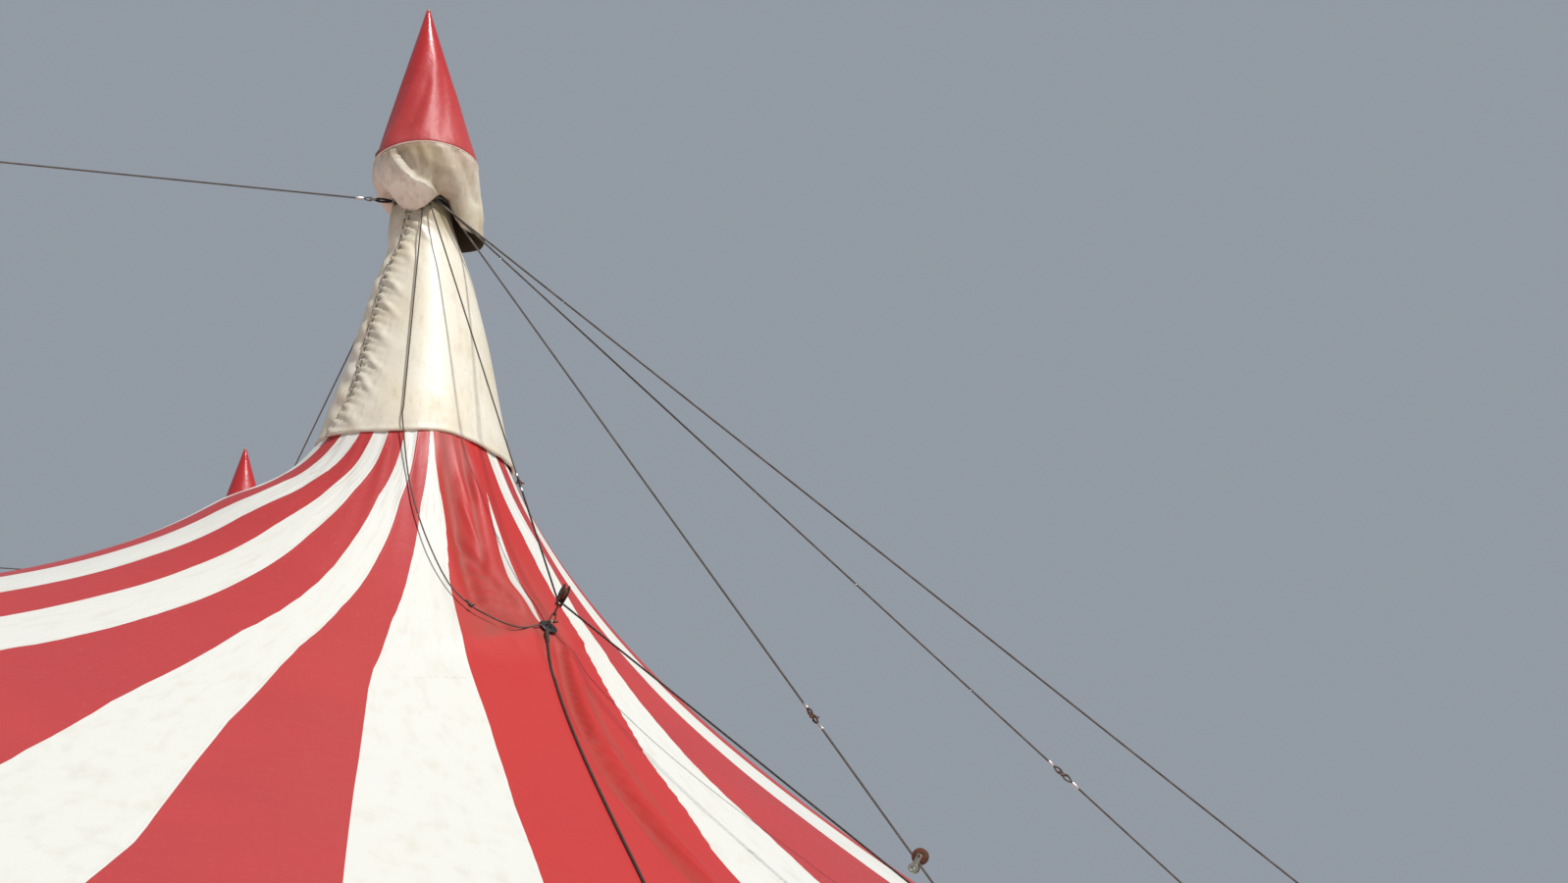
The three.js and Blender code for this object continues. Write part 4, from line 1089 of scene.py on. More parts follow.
def skirt_sheet():
    sheet, share, down = new_grid(SKIRT_COLUMNS, SKIRT_ROWS)
    down = 1 - down
    degrees = share * 360 - 180 + SKIRT_CROWDING * np.sin(share * 2 * math.pi)
    turn = np.radians(degrees + SKIRT_TURN)
    compass, hem_radii, hem_heights = zip(*SKIRT_HEM)
    hem_radius = np.interp(degrees, compass, hem_radii, period=360)
    hem = np.interp(degrees, compass, hem_heights, period=360)
    seam = seam_height(turn) - 0.001
    z = seam + (hem - seam) * down
    # Where the hem is drawn in the cloth hangs as a bag, and where it is free it hangs nearly straight
    droop = 3.6 - 2.2 * np.clip((hem_radius - 0.30) / 0.15, 0, 1)
    radius = HOOP_RADIUS + (hem_radius - HOOP_RADIUS) * down ** droop + SKIRT_BULGE * np.sin(math.pi * down)
    # Below the crest the slack stands proud as a lobe, and above it the panel is pulled in tight
    below = np.interp(degrees, *zip(*CREST)) - z
    on_lobe = fade(np.abs(degrees - LOBE_TURN), *LOBE_LIMITS)
    proud = LOBE_PROUD * rise(below, -0.012, 0.012) * fade(below, 0.05, 0.26)
    drawn = LOBE_DRAWN * fade(below, -0.030, 0.0) * rise(below, -0.24, -0.05)
    relief = (proud - drawn) * on_lobe + folds_round(degrees, z, HOOP_RADIUS, SKIRT_FOLDS)
    gather = np.sin(turn * 47) * 0.6 + np.sin(turn * 71 + 0.4) * 0.4
    relief = relief * rise(down, 0.0, 0.10)
    relief = relief + SKIRT_GATHER * gather * fade(down, 0.0, 0.22) * rise(down, 0.0, 0.03)
    # The hem is turned up 15 mm and stitched, and stands out a little
    radius = radius + (relief + SKIRT_HEM_FOLD * rise(down, 0.92, 0.96))
    set_round(sheet, cap_lean(z), radius, turn, z)
    store_uv(sheet, "cloth", (turn + math.pi) * HOOP_RADIUS, seam - z, 2 * math.pi * HOOP_RADIUS)
    store_value(sheet, "hem", z - hem)
    # Painted shade lies on the drawn-in panel, dirt on the free flap, and the bag below the crest is left
    # clean
    panel_shade = on_lobe * fade(below, -0.02, 0.03) * rise(down, 0.0, 0.12)
    flap = fade(np.abs(degrees - FLAP_TURN), *FLAP_LIMITS) * rise(down, 0.05, 0.30)
    spots = bell(degrees, 7, SPOT_TURN) * bell(z, 0.05, SPOT_HEIGHT)
    store_value(sheet, "soil_and_shade", 0.95 * panel_shade + 0.75 * flap * (1 - panel_shade) + 0.8 * spots)
    turn_outwards(sheet, weld=True)
    return sheet


skirt = skirt_sheet()
dress(skirt, stained_shaded_pvc("soiled_and_shaded_cream_pvc", "F0EBDF", "E0D5BC", "96714C", rough=0.5, amount=0.55))
give_thickness(skirt, CAP_THICKNESS, lining=lining_shade_finish)
for piece, quarter in zip(place_round(skirt, "cap_skirt", "skirt_membrane"), QUARTERS):
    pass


# A cream welt is sewn into the seam between the cone and the skirt, and a brass grommet is set below it.
# The welt dips with the seam.
WELT_RADIUS = HOOP_RADIUS + 0.002
WELT_THICKNESS = 0.0055
GROMMET_REACH = 0.448
welt_finish = dusty_film("cream_pvc_welt", "EDE6D8", "CDBFA4", 20.0, 4.0, rough=0.5)
brass = worn_steel("tarnished_brass", "9A8455", "6E5C3A", "4A3B28", rusted=0.3, rough=0.45)
seam_x, seam_y = cap_lean(CAP_SEAM)
seam_centre = Vector((MAST.x + float(seam_x), MAST.y + float(seam_y), CAP_SEAM))
welt = add_ring(seam_centre, (0, 0, 1), WELT_RADIUS, WELT_THICKNESS, welt_finish, sides=96, section=6)
points = np.array([vertex.co for vertex in welt.data.vertices])
dip = seam_height(np.arctan2(points[:, 1] - seam_centre.y, points[:, 0] - seam_centre.x)) - CAP_SEAM
set_points(welt, points[:, 0], points[:, 1], points[:, 2] + dip)
grommet_turn = math.radians(GROMMET_PLACE[0] + SKIRT_TURN)
grommet_out = Vector((math.cos(grommet_turn), math.sin(grommet_turn), 0))
grommet_at = seam_centre + grommet_out * GROMMET_REACH + Vector((0, 0, GROMMET_PLACE[1] - CAP_SEAM))
grommet = add_ring(grommet_at, grommet_out, 0.012, 0.004, brass, sides=16)
place_round(join([welt, grommet]), "cap_welt", "skirt_membrane", replaced=False)


# The mast is stayed by three steel wire ropes of 16 mm from a collar under the cap, and tied to the next
# mast by a fourth. Two are made in two lengths, joined by loops round thimbles, which are closed by pressed
# aluminium sleeves. A rusty sheave runs on the third, and a galvanised strap hangs from its axle.
COLLAR_HEIGHT = 10.8025
COLLAR_RADIUS = 0.25
COLLAR_BORE = 0.1105
COLLAR_THICKNESS = 0.025
COLLAR_AT = Vector((MAST.x, MAST.y, COLLAR_HEIGHT))
WIRE_DIAMETER = 0.016
GUY_TOPS = ((7.0300, -7.2280), (7.0673, -7.2199), (7.2291, -6.9800))
GUY_STAKES = ((19.10, -11.20), (17.70, -10.40), (10.90, -15.56))
STAKE_TOP = 0.215
STAKE_OUTLINE = ((0.019, 0.0), (0.020, 0.02), (0.0195, 0.225), (0.021, 0.240), (0.027, 0.252),
                 (0.028, 0.260), (0.021, 0.266), (0.008, 0.268))
LASHING_DROP = 0.022
LASHING_PITCH = 0.016
LASHING_RADIUS = 0.027
LASHING_THICKNESS = 0.008
# Half width and thickness of a joint's two wire loops, of the thimbles in them, of its shackle and of the
# shackle at a guy's top
JOINT_LOOPS = ((0.024, 0.011), (0.026, 0.011))
THIMBLES = ((0.016, 0.007), (0.018, 0.007))
JOINT_SHACKLE = (0.018, 0.010)
GUY_SHACKLE = (0.020, 0.012)
EAVE_PASS = Vector((10.03, -13.79, 3.07))
JOINTS = (((11.9052, -8.6669, 5.9852), (12.1284, -8.7337, 5.7629)),
          ((9.0609, -11.4337, 5.7454), (9.1365, -11.6176, 5.5367)))
GUY_SHEAVE = Vector((9.4978, -12.4961, 4.5392))
SHEAVE_TURN = math.radians(34)


def bevel_edges(obj, width, segments=1):
    edge = obj.modifiers.new("edge", "BEVEL")
    edge.width = width
    edge.segments = segments
    edge.limit_method = "ANGLE"
    bpy.ops.object.modifier_apply(modifier="edge")


def rod(start, end, radius, finish, sides=10):
    """A round bar with bevelled ends."""
    start, end = Vector(start), Vector(end)
    bpy.ops.object.select_all(action="DESELECT")
    bpy.ops.mesh.primitive_cylinder_add(vertices=sides, radius=radius, depth=(end - start).length,
                                        location=(start + end) / 2, rotation=turn_to_face(end - start))
    bar = bpy.context.object
    bevel_edges(bar, radius * 0.25, segments=2)
    apply_place()
    bpy.ops.object.shade_smooth_by_angle(angle=SMOOTH_ANGLE)
    return dress(bar, finish)


def pin(centre, way, half, radius, finish):
    """A bar through a place, reaching as far to both sides."""
    return rod(centre - way * half, centre + way * half, radius, finish)


def wire(points, diameter, finish, sides=2):
    return dress(as_mesh(cord_curve([Vector(p) for p in points], diameter, sides)), finish)


def side_of(along):
    """A level direction square to a line, or one near to it on an upright line."""
    level = along.cross(Vector((0, 0, 1)))
    return level.normalized() if level.length > 0.05 else Vector((1, 0, 0))


def loop(throat, crown, half_width, diameter, finish):
    """A loop of wire drawn out from its throat round its crown, shaped like a drop."""
    along = crown - throat
    across = along.normalized().cross(side_of(along))
    course = []
    for t in (k * 2 * math.pi / 18 for k in range(19)):
        aside = half_width * math.sin(t) * math.sin(t / 2)
        course.append(throat + along * (1 - math.cos(t)) / 2 + across * aside)
    return wire(course, diameter, finish)


def shackle(foot, head, half_width, diameter, finish):
    """A bow with an eye on each foot and a pin through both. The pin's head stands out on one side."""
    along = head - foot
    across = side_of(along)
    bow = [foot + across * half_width * math.cos(t) + along * math.sin(t) for t in
           (k * math.pi / 10 for k in range(11))]
    pin = rod(foot - across * (half_width + diameter), foot + across * (half_width + 2.2 * diameter),
              diameter * 0.6, finish)
    eyes = [rod(foot + across * (reach - diameter * 0.6), foot + across * (reach + diameter * 0.6),
                diameter, finish) for reach in (-half_width, half_width)]
    return [wire(bow, diameter, finish), pin, *eyes]


def sleeve(start, end, radius=0.0125):
    return rod(start, end, radius, aluminium, sides=14)


def wire_joint(start, end, finish):
    """Two thimble loops linked by a shackle, with a pressed sleeve on the wire at each end."""
    start, end = Vector(start), Vector(end)
    way = end - start
    # Where a sleeve, a loop, the gap, the other loop and the other sleeve begin, and the end
    at = [start + way * share for share in (0.0, 0.17, 0.42, 0.50, 0.78, 1.0)]
    return [sleeve(at[0], at[1]), sleeve(at[4], at[5]),
            loop(at[1], at[2] + way * 0.02, *JOINT_LOOPS[0], finish),
            loop(at[4], at[3], *JOINT_LOOPS[1], finish),
            loop(at[1] + way * 0.03, at[2], *THIMBLES[0], rusty_iron),
            loop(at[4] - way * 0.03, at[3] + way * 0.02, *THIMBLES[1], rusty_iron),
            *shackle(at[3] + way * 0.02, at[2] - way * 0.06, *JOINT_SHACKLE, rusty_iron)]


def driven_stake(x, y):
    """A round iron stake, its head spread by the hammer, with turns of lashing below the head."""
    foot = Vector((x, y, 0))
    parts = [turned_shape(foot, STAKE_OUTLINE, rusty_iron, sides=14)]
    for k in range(3):
        height = Vector((0, 0, STAKE_TOP - LASHING_DROP + LASHING_PITCH * k))
        parts.append(add_ring(foot + height, (0.05, 0.03 * (k - 1), 1), LASHING_RADIUS,
                              LASHING_THICKNESS, dark_rope_finish, sides=14))
    return parts


aluminium = worn_steel("pressed_aluminium", "D9DAD6", "B5B5AF", "8A857B", rusted=0.05, rough=0.32,
                       metallic=0.9)
rusty_iron = worn_steel("rusty_wrought_iron", "5A4437", "3C2E27", "6B3B22", rusted=0.62, rough=0.6,
                        metallic=0.4)
wire_finish = cord_fibre("tarred_steel_wire_rope", "3B3733", "6B645B", WIRE_DIAMETER)
strop_finish = cord_fibre("black_polyester_strop", "121213", "232220", 0.03)
dark_rope_finish = cord_fibre("tarred_hemp_rope", "231D19", "463A30", 0.024)


FLANGE_EDGE = 0.003


def flange(centre, outer, inner, thickness, finish, sides=36):
    """A flat ring, made from a disc by insetting both faces and bridging them."""
    bpy.ops.object.select_all(action="DESELECT")
    bpy.ops.mesh.primitive_cylinder_add(vertices=sides, radius=outer, depth=thickness, location=centre)
    ring = bpy.context.object
    bpy.ops.object.mode_set(mode="EDIT")
    bpy.ops.mesh.select_mode(type="FACE")
    bpy.ops.mesh.select_all(action="DESELECT")
    bpy.ops.object.mode_set(mode="OBJECT")
    for face in ring.data.polygons:
        face.select = len(face.vertices) == sides
    bpy.ops.object.mode_set(mode="EDIT")
    bpy.ops.mesh.inset(thickness=outer - inner)
    bpy.ops.mesh.bridge_edge_loops()
    bpy.ops.mesh.select_all(action="SELECT")
    bpy.ops.mesh.normals_make_consistent(inside=False)
    bpy.ops.object.mode_set(mode="OBJECT")
    apply_place()
    bevel_edges(ring, FLANGE_EDGE)
    bpy.ops.object.shade_smooth_by_angle(angle=SMOOTH_ANGLE)
    return dress(ring, finish)


guy_parts = [flange(COLLAR_AT, COLLAR_RADIUS, COLLAR_BORE, COLLAR_THICKNESS, zinc_finish)]
tops = [Vector((x, y, COLLAR_HEIGHT)) for x, y in GUY_TOPS]
feet = [Vector((x, y, STAKE_TOP)) for x, y in GUY_STAKES]
for top, foot in zip(tops, feet):
    guy_parts += driven_stake(foot.x, foot.y)
    away = (top - COLLAR_AT).normalized()
    guy_parts += shackle(top - away * 0.05, top + away * 0.02, *GUY_SHACKLE, zinc_finish)
guy_parts.append(wire([tops[0], feet[0]], WIRE_DIAMETER * 1.05, wire_finish))
for course in ((tops[1], JOINTS[0][0]), (JOINTS[0][1], feet[1]), (tops[2], JOINTS[1][0]),
               (JOINTS[1][1], EAVE_PASS, feet[2])):
    guy_parts.append(wire(course, WIRE_DIAMETER, wire_finish))
for start, end in JOINTS:
    guy_parts += wire_joint(start, end, wire_finish)

# The sheave sits on the upper side of the wire. Its strap is two plates with a ring hole at the foot
SHEAVE_OUTLINE = ((0.020, -0.019), (0.050, -0.017), (0.055, -0.013), (0.054, -0.008), (0.046, 0.0),
                  (0.054, 0.008), (0.055, 0.013), (0.050, 0.017), (0.020, 0.019))
SHEAVE_LIFT = 0.034
# Half the axle's length, and its radius
GUY_AXLE = (0.032, 0.010)
STRAP_HANG = Vector((-0.62, -0.12, -0.78))
STRAP_OFFSET = 0.025
STRAP_REACH = 0.085
run = (EAVE_PASS - tops[2]).normalized()
axle = Matrix.Rotation(SHEAVE_TURN, 3, "Z") @ -side_of(run)
lift = run.cross(axle).normalized()
lift = lift if lift.z > 0 else -lift
hub = GUY_SHEAVE + lift * SHEAVE_LIFT
guy_parts += [turned_shape(hub, SHEAVE_OUTLINE, rusty_iron, facing=axle, sides=28),
              pin(hub, axle, *GUY_AXLE, rusty_iron)]
hang = STRAP_HANG.normalized()
hang = (hang - axle * hang.dot(axle)).normalized()
for offset in (-STRAP_OFFSET, STRAP_OFFSET):
    near = hub + axle * offset
    eye = near + hang * STRAP_REACH
    strap = flange(eye, 0.034, 0.016, 0.006, zinc_finish, sides=20)
    strap_turn = axle.to_track_quat("Z", "Y").to_matrix().to_4x4()
    strap.data.transform(Matrix.Translation(eye) @ strap_turn @ Matrix.Translation(-eye))
    arm = rod(near - hang * 0.012, near + hang * 0.062, 0.019, zinc_finish, sides=12)
    arm.data.transform(Matrix.Translation(near) @ Matrix.Scale(0.18, 4, axle) @ Matrix.Translation(-near))
    guy_parts += [strap, arm]

# The tie's ends: a black strop from the collar, a shackle, a thimble and a pressed sleeve
TIE_REACHES = (0.24, 0.39, 0.43, 0.49, 0.56)
TIE_START = 0.55
for centre, way in ((MAST.x, -1), (-MAST.x, 1)):
    at = [Vector((centre + way * reach, MAST.y, COLLAR_HEIGHT)) for reach in TIE_REACHES]
    guy_parts.append(loop(at[0], at[1], 0.016, 0.020, strop_finish))
    guy_parts += shackle(at[2], at[1] - Vector((way * 0.012, 0, 0)), 0.020, 0.011, zinc_finish)
    guy_parts.append(loop(at[3], at[2] - Vector((way * 0.008, 0, 0)), 0.018, 0.010, wire_finish))
    guy_parts.append(sleeve(at[3], at[4], 0.014))
tie_ends = [(way * (MAST.x - TIE_START), MAST.y, COLLAR_HEIGHT) for way in (1, -1)]
guy_parts.append(wire(tie_ends, WIRE_DIAMETER, wire_finish))
place_round(join(guy_parts), "mast_guys", "wire_steel")


# The roof is pulled up at a black steel ring plate by a rope through a pulley block. The block has two
# black cheeks round a rusty sheave, and hangs between the plate's eye and the rope by a forged link.
PLATE_FACING = Vector((0.339, -0.6289, 0.6997))
PLATE_OUTLINE = ((0.070, 0.0), (0.075, 0.003), (0.075, 0.010), (0.070, 0.014), (0.030, 0.0145),
                 (0.024, 0.022), (0.012, 0.030))
PLATE_EYE = 0.050
LINK_FOOT = 0.058
BLOCK = Vector((7.901, -8.888, 7.0258))
BLOCK_TWIST = math.radians(-36)
BLOCK_SHEAVE = 0.055
SHEAVE_NARROWING = 0.7
CHEEK_OUTLINE = ((0.056, -0.004), (0.060, -0.002), (0.060, 0.002), (0.056, 0.004))
CHEEK_OFFSET = 0.020
# The cheeks are drawn out above and below their middle, and get narrower towards the link
CHEEK_ABOVE, CHEEK_BELOW, CHEEK_NARROWING = 1.35, 1.75, 0.5
TAIL_DROP = 0.084
# Half the length and the radius of the pins through the sheave and the block's tail
SHEAVE_PIN = (0.034, 0.011)
TAIL_PIN = (0.03, 0.008)
ROPE_RADIUS = 0.0078

black_steel = worn_steel("black_painted_steel", "1C1A1A", "292625", "5A3A28", rusted=0.3, rough=0.45,
                         metallic=0.2)
block_paint = worn_steel("worn_black_enamel", "2A2624", "3D3530", "5E3D2A", rusted=0.5, rough=0.5,
                         metallic=0.2)
hoist = (BLOCK - PLATE).normalized()
# The block hangs twisted on its link, so its axle isn't square to the rope's plane
BLOCK_AXLE = Matrix.Rotation(BLOCK_TWIST, 3, hoist) @ Vector((0.6988, 0.7019, -0.1374)).normalized()


def cheek(offset):
    """A pressed cheek plate, widest beside the sheave's axle and drawn in towards the link."""
    centre = BLOCK + BLOCK_AXLE * offset
    plate = turned_shape(centre, CHEEK_OUTLINE, block_paint, facing=BLOCK_AXLE, sides=28)
    across = hoist.cross(BLOCK_AXLE).normalized()
    for point in plate.data.vertices:
        off = point.co - centre
        up, side, out = off.dot(hoist), off.dot(across), off.dot(BLOCK_AXLE)
        up = up * CHEEK_ABOVE if up > 0 else up * CHEEK_BELOW
        side = side * (1 - CHEEK_NARROWING * min(max(-up / 0.10, 0), 1))
        point.co = centre + hoist * up + across * side + BLOCK_AXLE * out
    return plate


fork = PLATE + (BLOCK - PLATE) * 0.45
link_foot = PLATE + PLATE_FACING * LINK_FOOT
tail = BLOCK - hoist * TAIL_DROP
narrow_outline = [(radius, offset * SHEAVE_NARROWING) for radius, offset in SHEAVE_OUTLINE]
block_parts = [turned_shape(PLATE, PLATE_OUTLINE, black_steel, facing=PLATE_FACING, sides=32),
               add_ring(PLATE + PLATE_FACING * PLATE_EYE, hoist.cross(PLATE_FACING), 0.018, 0.0065,
                        zinc_finish, sides=18, section=8),
               *shackle(link_foot, fork, 0.022, 0.014, rusty_iron),
               loop(BLOCK - hoist * 0.082, link_foot + (fork - link_foot) * 0.75, 0.020, 0.013, rusty_iron),
               cheek(-CHEEK_OFFSET), cheek(CHEEK_OFFSET),
               turned_shape(BLOCK, narrow_outline, rusty_iron, facing=BLOCK_AXLE, sides=28),
               pin(BLOCK, BLOCK_AXLE, *SHEAVE_PIN, black_steel),
               pin(tail, BLOCK_AXLE, *TAIL_PIN, black_steel)]
place_round(join(block_parts), "lift_block", "block_steel")


# The lift line comes straight down in front of the cowl as wire, and goes on as dark rope from a thimble
# joint, round the block's sheave and out over the eave to a stake. Everything in it is taut.
LIFT_JOINT_HALF = 0.09
LIFT_TOP = Vector((7.0046, -7.2560, 10.8025))
LIFT_JOINT = Vector((7.6290, -8.4230, 8.0160))
LIFT_EAVE = Vector((11.13, -12.89, 3.005))
LIFT_STAKE = Vector((12.3978, -14.3978, 0.215))

inward = (LIFT_TOP - BLOCK).normalized()
outward = (LIFT_EAVE - BLOCK).normalized()
away = -(inward + outward).normalized()
leave = [(away - way * away.dot(way)).normalized() for way in (inward, outward)]
wrap = [BLOCK + leave[0].slerp(leave[1], share) * (BLOCK_SHEAVE + ROPE_RADIUS * 0.4) for share in
        (0, 0.2, 0.4, 0.6, 0.8, 1)]
fall = (wrap[0] - LIFT_JOINT).normalized()
joint_top, joint_foot = LIFT_JOINT - fall * LIFT_JOINT_HALF, LIFT_JOINT + fall * LIFT_JOINT_HALF
lift_parts = [wire([LIFT_TOP, joint_top], WIRE_DIAMETER * 0.8, wire_finish),
              *wire_joint(joint_top, joint_foot, wire_finish),
              wire([joint_foot, *wrap, LIFT_EAVE, LIFT_STAKE], ROPE_RADIUS * 2, dark_rope_finish, sides=3),
              *driven_stake(LIFT_STAKE.x, LIFT_STAKE.y)]
place_round(join(lift_parts), "lift_line", "wire_steel")


# A tarred hemp rope of 20 mm is spliced to the ring plate, lies down the roof over its folds, passes over
# the eave, and is made fast to a stake.
HOLD_DOWN_START = ((7.7827, -8.8940, 6.7464), (7.7680, -8.9289, 6.7221))
HOLD_DOWN_PLAN = ((7.7680, -8.9289), (7.7494, -9.3235), (7.7401, -10.5593), (7.7173, -12.3575),
                  (7.6078, -14.0155), (7.5078, -15.2155))
HOLD_DOWN_EAVE = (7.5423, -15.2854, 3.005)
HOLD_DOWN_STAKE = (8.4074, -17.0386, 0.215)
HOLD_DOWN_RADIUS = 0.010
HOLD_DOWN_REST = 1.2

lying = smooth_route([(x, y, 0) for x, y in HOLD_DOWN_PLAN], steps=12)[4:]
on_roof = [Vector((p.x, p.y, float(skin_z(p.x, p.y)) + HOLD_DOWN_RADIUS * HOLD_DOWN_REST)) for p in lying]
hold_down = wire([*HOLD_DOWN_START, *on_roof, HOLD_DOWN_EAVE, HOLD_DOWN_STAKE], HOLD_DOWN_RADIUS * 2,
                 dark_rope_finish, sides=3)
splice = rod(HOLD_DOWN_START[0], on_roof[1], HOLD_DOWN_RADIUS * 1.45, dark_rope_finish)
place_round(join([hold_down, splice, *driven_stake(*HOLD_DOWN_STAKE[:2])]), "hold_down_rope", "dark_rope")


# The masts, bale rings and side poles are hot dip galvanised steel tube, as the maker leaves them: a grey
# spangled zinc, scuffed where the tent is put up and rusty at the foot.
mast_finish = worn_steel("galvanised_steel_tube", "9C9E9C", "7D7F7D", "6E4A33", rusted=0.16, rough=0.48)
for quarter in QUARTERS:
    for node in (f"king_pole_{quarter}", f"bale_ring_{quarter}", f"side_poles_{quarter}"):
        dress(bpy.data.objects[node], mast_finish)


# The eave is edged with a bolt rope. At every side pole a ratchet strap of polyester webbing, 50 mm wide,
# runs from it over the pole's head to an iron stake.
EAVE_STEPS = 18
BOLT_ROPE = 0.015
EAVE_ROPE_RADIUS = EAVE_RADIUS + BOLT_ROPE + 0.0003
BOLT_ROPE_HEIGHT = EAVE_HEIGHT - 0.0194
STRAP_HEIGHT = BOLT_ROPE_HEIGHT + 0.004
STAKE_RING = 19.0
STRAP_WIDTH = 0.05
STRAP_THICKNESS = 0.003
STRAP_EDGE = STRAP_THICKNESS * 0.4
POLE_HEAD = 0.055
# Half the length and the radius of a ratchet's spindle and handle
SPINDLE = (0.036, 0.012)
HANDLE = (0.034, 0.008)
eave_start = math.atan2(-EAVE_RADIUS - MAST.y, -MAST.x)
eave_end = math.atan2(-MAST.y, EAVE_RADIUS - MAST.x)


def eave_way(step):
    """The direction from the tent's middle to one of the eave's divisions, which may be a fraction."""
    angle = eave_start + (eave_end - eave_start) * step / EAVE_STEPS
    reach = float(roof_reach(np.array([angle]))[0])
    return Vector((MAST.x + reach * math.cos(angle), MAST.y + reach * math.sin(angle), 0)).normalized()


def at_eave(step, radius, z):
    return eave_way(step) * radius + Vector((0, 0, z))


def strap_run(start, end, finish):
    """One straight length of flat webbing with rounded edges."""
    along = end - start
    flat = along.normalized().cross(Vector((0, 0, 1)))
    turn = Matrix((flat.normalized(), along.normalized(), flat.cross(along).normalized())).transposed()
    bpy.ops.object.select_all(action="DESELECT")
    bpy.ops.mesh.primitive_cube_add(size=1, location=(start + end) / 2, rotation=turn.to_euler(),
                                    scale=(STRAP_WIDTH, along.length, STRAP_THICKNESS))
    strap = bpy.context.object
    apply_place()
    bevel_edges(strap, STRAP_EDGE)
    return dress(strap, finish)


def buckle(centre, along):
    """A ratchet: two side plates, a spindle and a handle."""
    across = along.cross(Vector((0, 0, 1))).normalized()
    handle = centre + along * 0.06 + across.cross(along).normalized() * 0.02
    plates = [rod(centre + across * side - along * 0.035, centre + across * side + along * 0.075, 0.011,
                  zinc_finish, sides=8) for side in (-0.031, 0.031)]
    return [pin(centre, across, *SPINDLE, zinc_finish), pin(handle, across, *HANDLE, zinc_finish), *plates]


webbing, webbing_shader = new_material("woven_polyester_webbing")
webbing_place = own_place(webbing)
# The real ribs are 1.5 mm apart and are drawn at 6 mm
ribs = add_node(webbing, "TexWave", {"Vector": webbing_place, "Scale": 50.0, "Distortion": 1.0}, out="Fac")
webbing_dirt = noise(webbing, webbing_place, 8.0, 4.0)
webbing_tone = blend(webbing, webbing_dirt, "8E8A80", "5F5A50")
webbing_bump = bumps(webbing, ribs, 0.5, 0.002)
fill_inputs(webbing_shader, {"Base Color": webbing_tone, "Normal": webbing_bump, "Roughness": 0.8})

eave_course = [at_eave(step / 4, EAVE_ROPE_RADIUS, BOLT_ROPE_HEIGHT) for step in range(4 * EAVE_STEPS + 1)]
bolt_rope_finish = cord_fibre("white_polyester_bolt_rope", "8F8A7D", "B9B3A4", 0.03)
eave_parts = [wire(eave_course, BOLT_ROPE * 2, bolt_rope_finish, sides=3)]
for step in range(1, EAVE_STEPS, 2):
    head = at_eave(step, EAVE_ROPE_RADIUS + POLE_HEAD, STRAP_HEIGHT)
    hold = at_eave(step, STAKE_RING - 0.02, STAKE_TOP + 0.01)
    middle = head.lerp(hold, 0.55)
    eave_parts += [strap_run(at_eave(step, EAVE_ROPE_RADIUS, STRAP_HEIGHT), head, webbing),
                   strap_run(head, middle, webbing), strap_run(middle, hold, webbing),
                   *buckle(middle, (hold - head).normalized()),
                   *driven_stake(*(eave_way(step) * STAKE_RING).xy)]
place_round(join(eave_parts), "eave_rigging", "strap_webbing")


# The wall is white PVC coated cloth, hung from the rail inside the poles by hooks on its rope edge. It
# hangs in shallow folds between the hooks, and leaves one bay open in front and one behind.
WALL_TOP = 2.885
WALL_RADIUS = 16.9651
WALL_FOLD = 0.0065
WALL_COLUMNS = 330
WALL_ROWS = 9
WALL_THICKNESS = 0.002
HOOK_SPACING = 0.5
HOOK_SAG = 0.012
WALL_FOOT = 0.002

wall_white, wall_shader = new_material("white_pvc_wall_cloth")
wall_place = own_place(wall_white)
wall_height = add_node(wall_white, "SeparateXYZ", {0: wall_place}, out="Z")
wall_clouds = noise(wall_white, wall_place, 1.6, 6.0)
wall_tone = blend(wall_white, wall_clouds, "DDD9CE", "C9C2B1")
# Splashed mud and grass stain reach about 300 mm up from the ground
wall_splash = ramp(wall_white, wall_height, 0.0, 0.38, 0.8, 0.0)
wall_splash = reckon(wall_white, "MULTIPLY", wall_splash, wall_clouds)
wall_tone = blend(wall_white, wall_splash, wall_tone, "6F6247")
wall_crinkle = noise(wall_white, wall_place, 5.0, 6.0)
wall_bump = bumps(wall_white, wall_crinkle, 0.3, 0.008)
fill_inputs(wall_shader, {"Base Color": wall_tone, "Normal": wall_bump, "Roughness": 0.5})

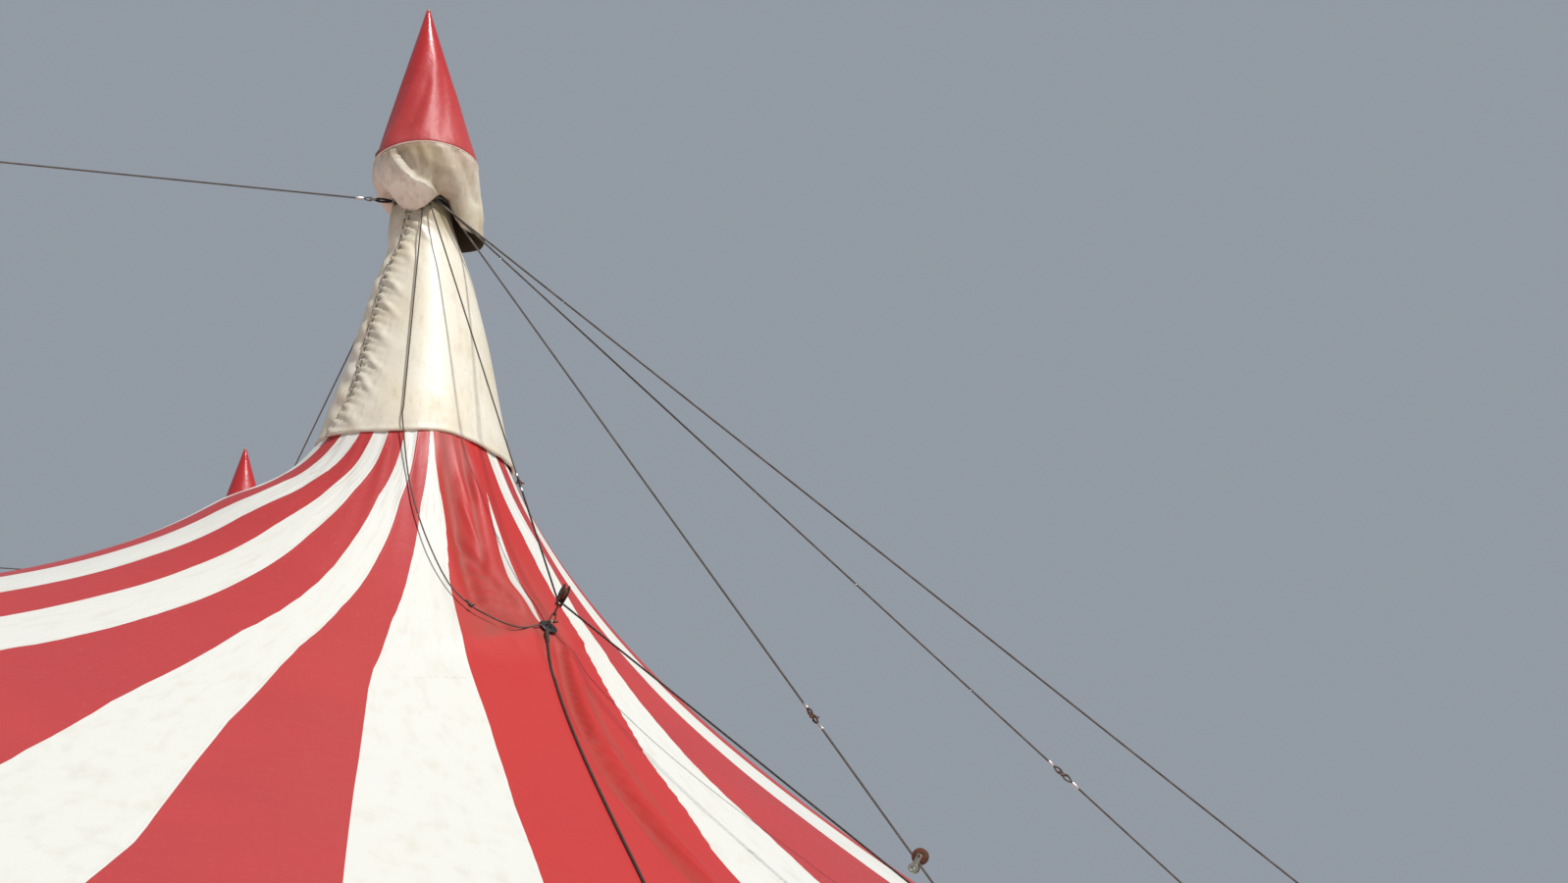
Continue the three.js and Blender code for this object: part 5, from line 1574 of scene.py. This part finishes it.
for turns, quarter in enumerate(QUARTERS):
    first, last = (1, EAVE_STEPS) if turns % 2 == 0 else (0, EAVE_STEPS - 1)
    wall, share, down = new_grid(WALL_COLUMNS, WALL_ROWS)
    down = 1 - down
    ways = [eave_way(first + (last - first) * k / WALL_COLUMNS) for k in range(WALL_COLUMNS + 1)]
    column = np.round(share * WALL_COLUMNS).astype(int)
    way_x = np.array([way.x for way in ways])[column]
    way_y = np.array([way.y for way in ways])[column]
    arc = np.unwrap(np.arctan2([way.y for way in ways], [way.x for way in ways]))[column] * WALL_RADIUS
    fold = np.sin(arc / HOOK_SPACING * 2 * math.pi) + 0.4 * np.sin(arc / 1.3 * 2 * math.pi + 3 * down)
    radius = WALL_RADIUS + WALL_FOLD * fold * (0.45 + 0.4 * down)
    sag = HOOK_SAG * (1 - np.cos(arc / HOOK_SPACING * 2 * math.pi)) / 2 * fade(down, 0.0, 0.15)
    set_points(wall, way_x * radius, way_y * radius, WALL_FOOT + (WALL_TOP - WALL_FOOT) * (1 - down) - sag)
    wall.data.transform(Matrix.Rotation(turns * math.pi / 2, 4, "Z"))
    select_only(wall)
    bpy.ops.object.shade_smooth()
    dress(wall, wall_white)
    give_thickness(wall, WALL_THICKNESS)
    finish_piece(wall, f"side_wall_look_{quarter}", f"side_wall_{quarter}", slot="wall_membrane")


# A plain pale floor, and a high sun from the front right as in the photograph, with light from all round
# that leaves the shadows open.
FLOOR_SIZE = 600
FLOOR_DROP = 0.001
SUN_TILT = math.radians(35)
SUN_TURN = math.radians(29)
SUN_STRENGTH = 3.5
SUN_WIDTH = math.radians(3.5)
SKY_STRENGTH = 0.5
bpy.ops.mesh.primitive_plane_add(size=FLOOR_SIZE, location=(0, 0, -FLOOR_DROP))
floor = bpy.context.object
floor.name = "floor"
floor_material, floor_shader = new_material("pale_floor")
fill_inputs(floor_shader, {"Base Color": linear("D8D6D2"), "Roughness": 0.8})
dress(floor, floor_material)
bpy.ops.object.light_add(type="SUN", rotation=(SUN_TILT, 0, SUN_TURN))
sun = bpy.context.object
sun.data.energy = SUN_STRENGTH
sun.data.angle = SUN_WIDTH
world = bpy.data.worlds.new("studio")
world.use_nodes = True
fill_inputs(world.node_tree.nodes["Background"], {"Color": linear("C9D3DF"), "Strength": SKY_STRENGTH})
bpy.context.scene.world = world
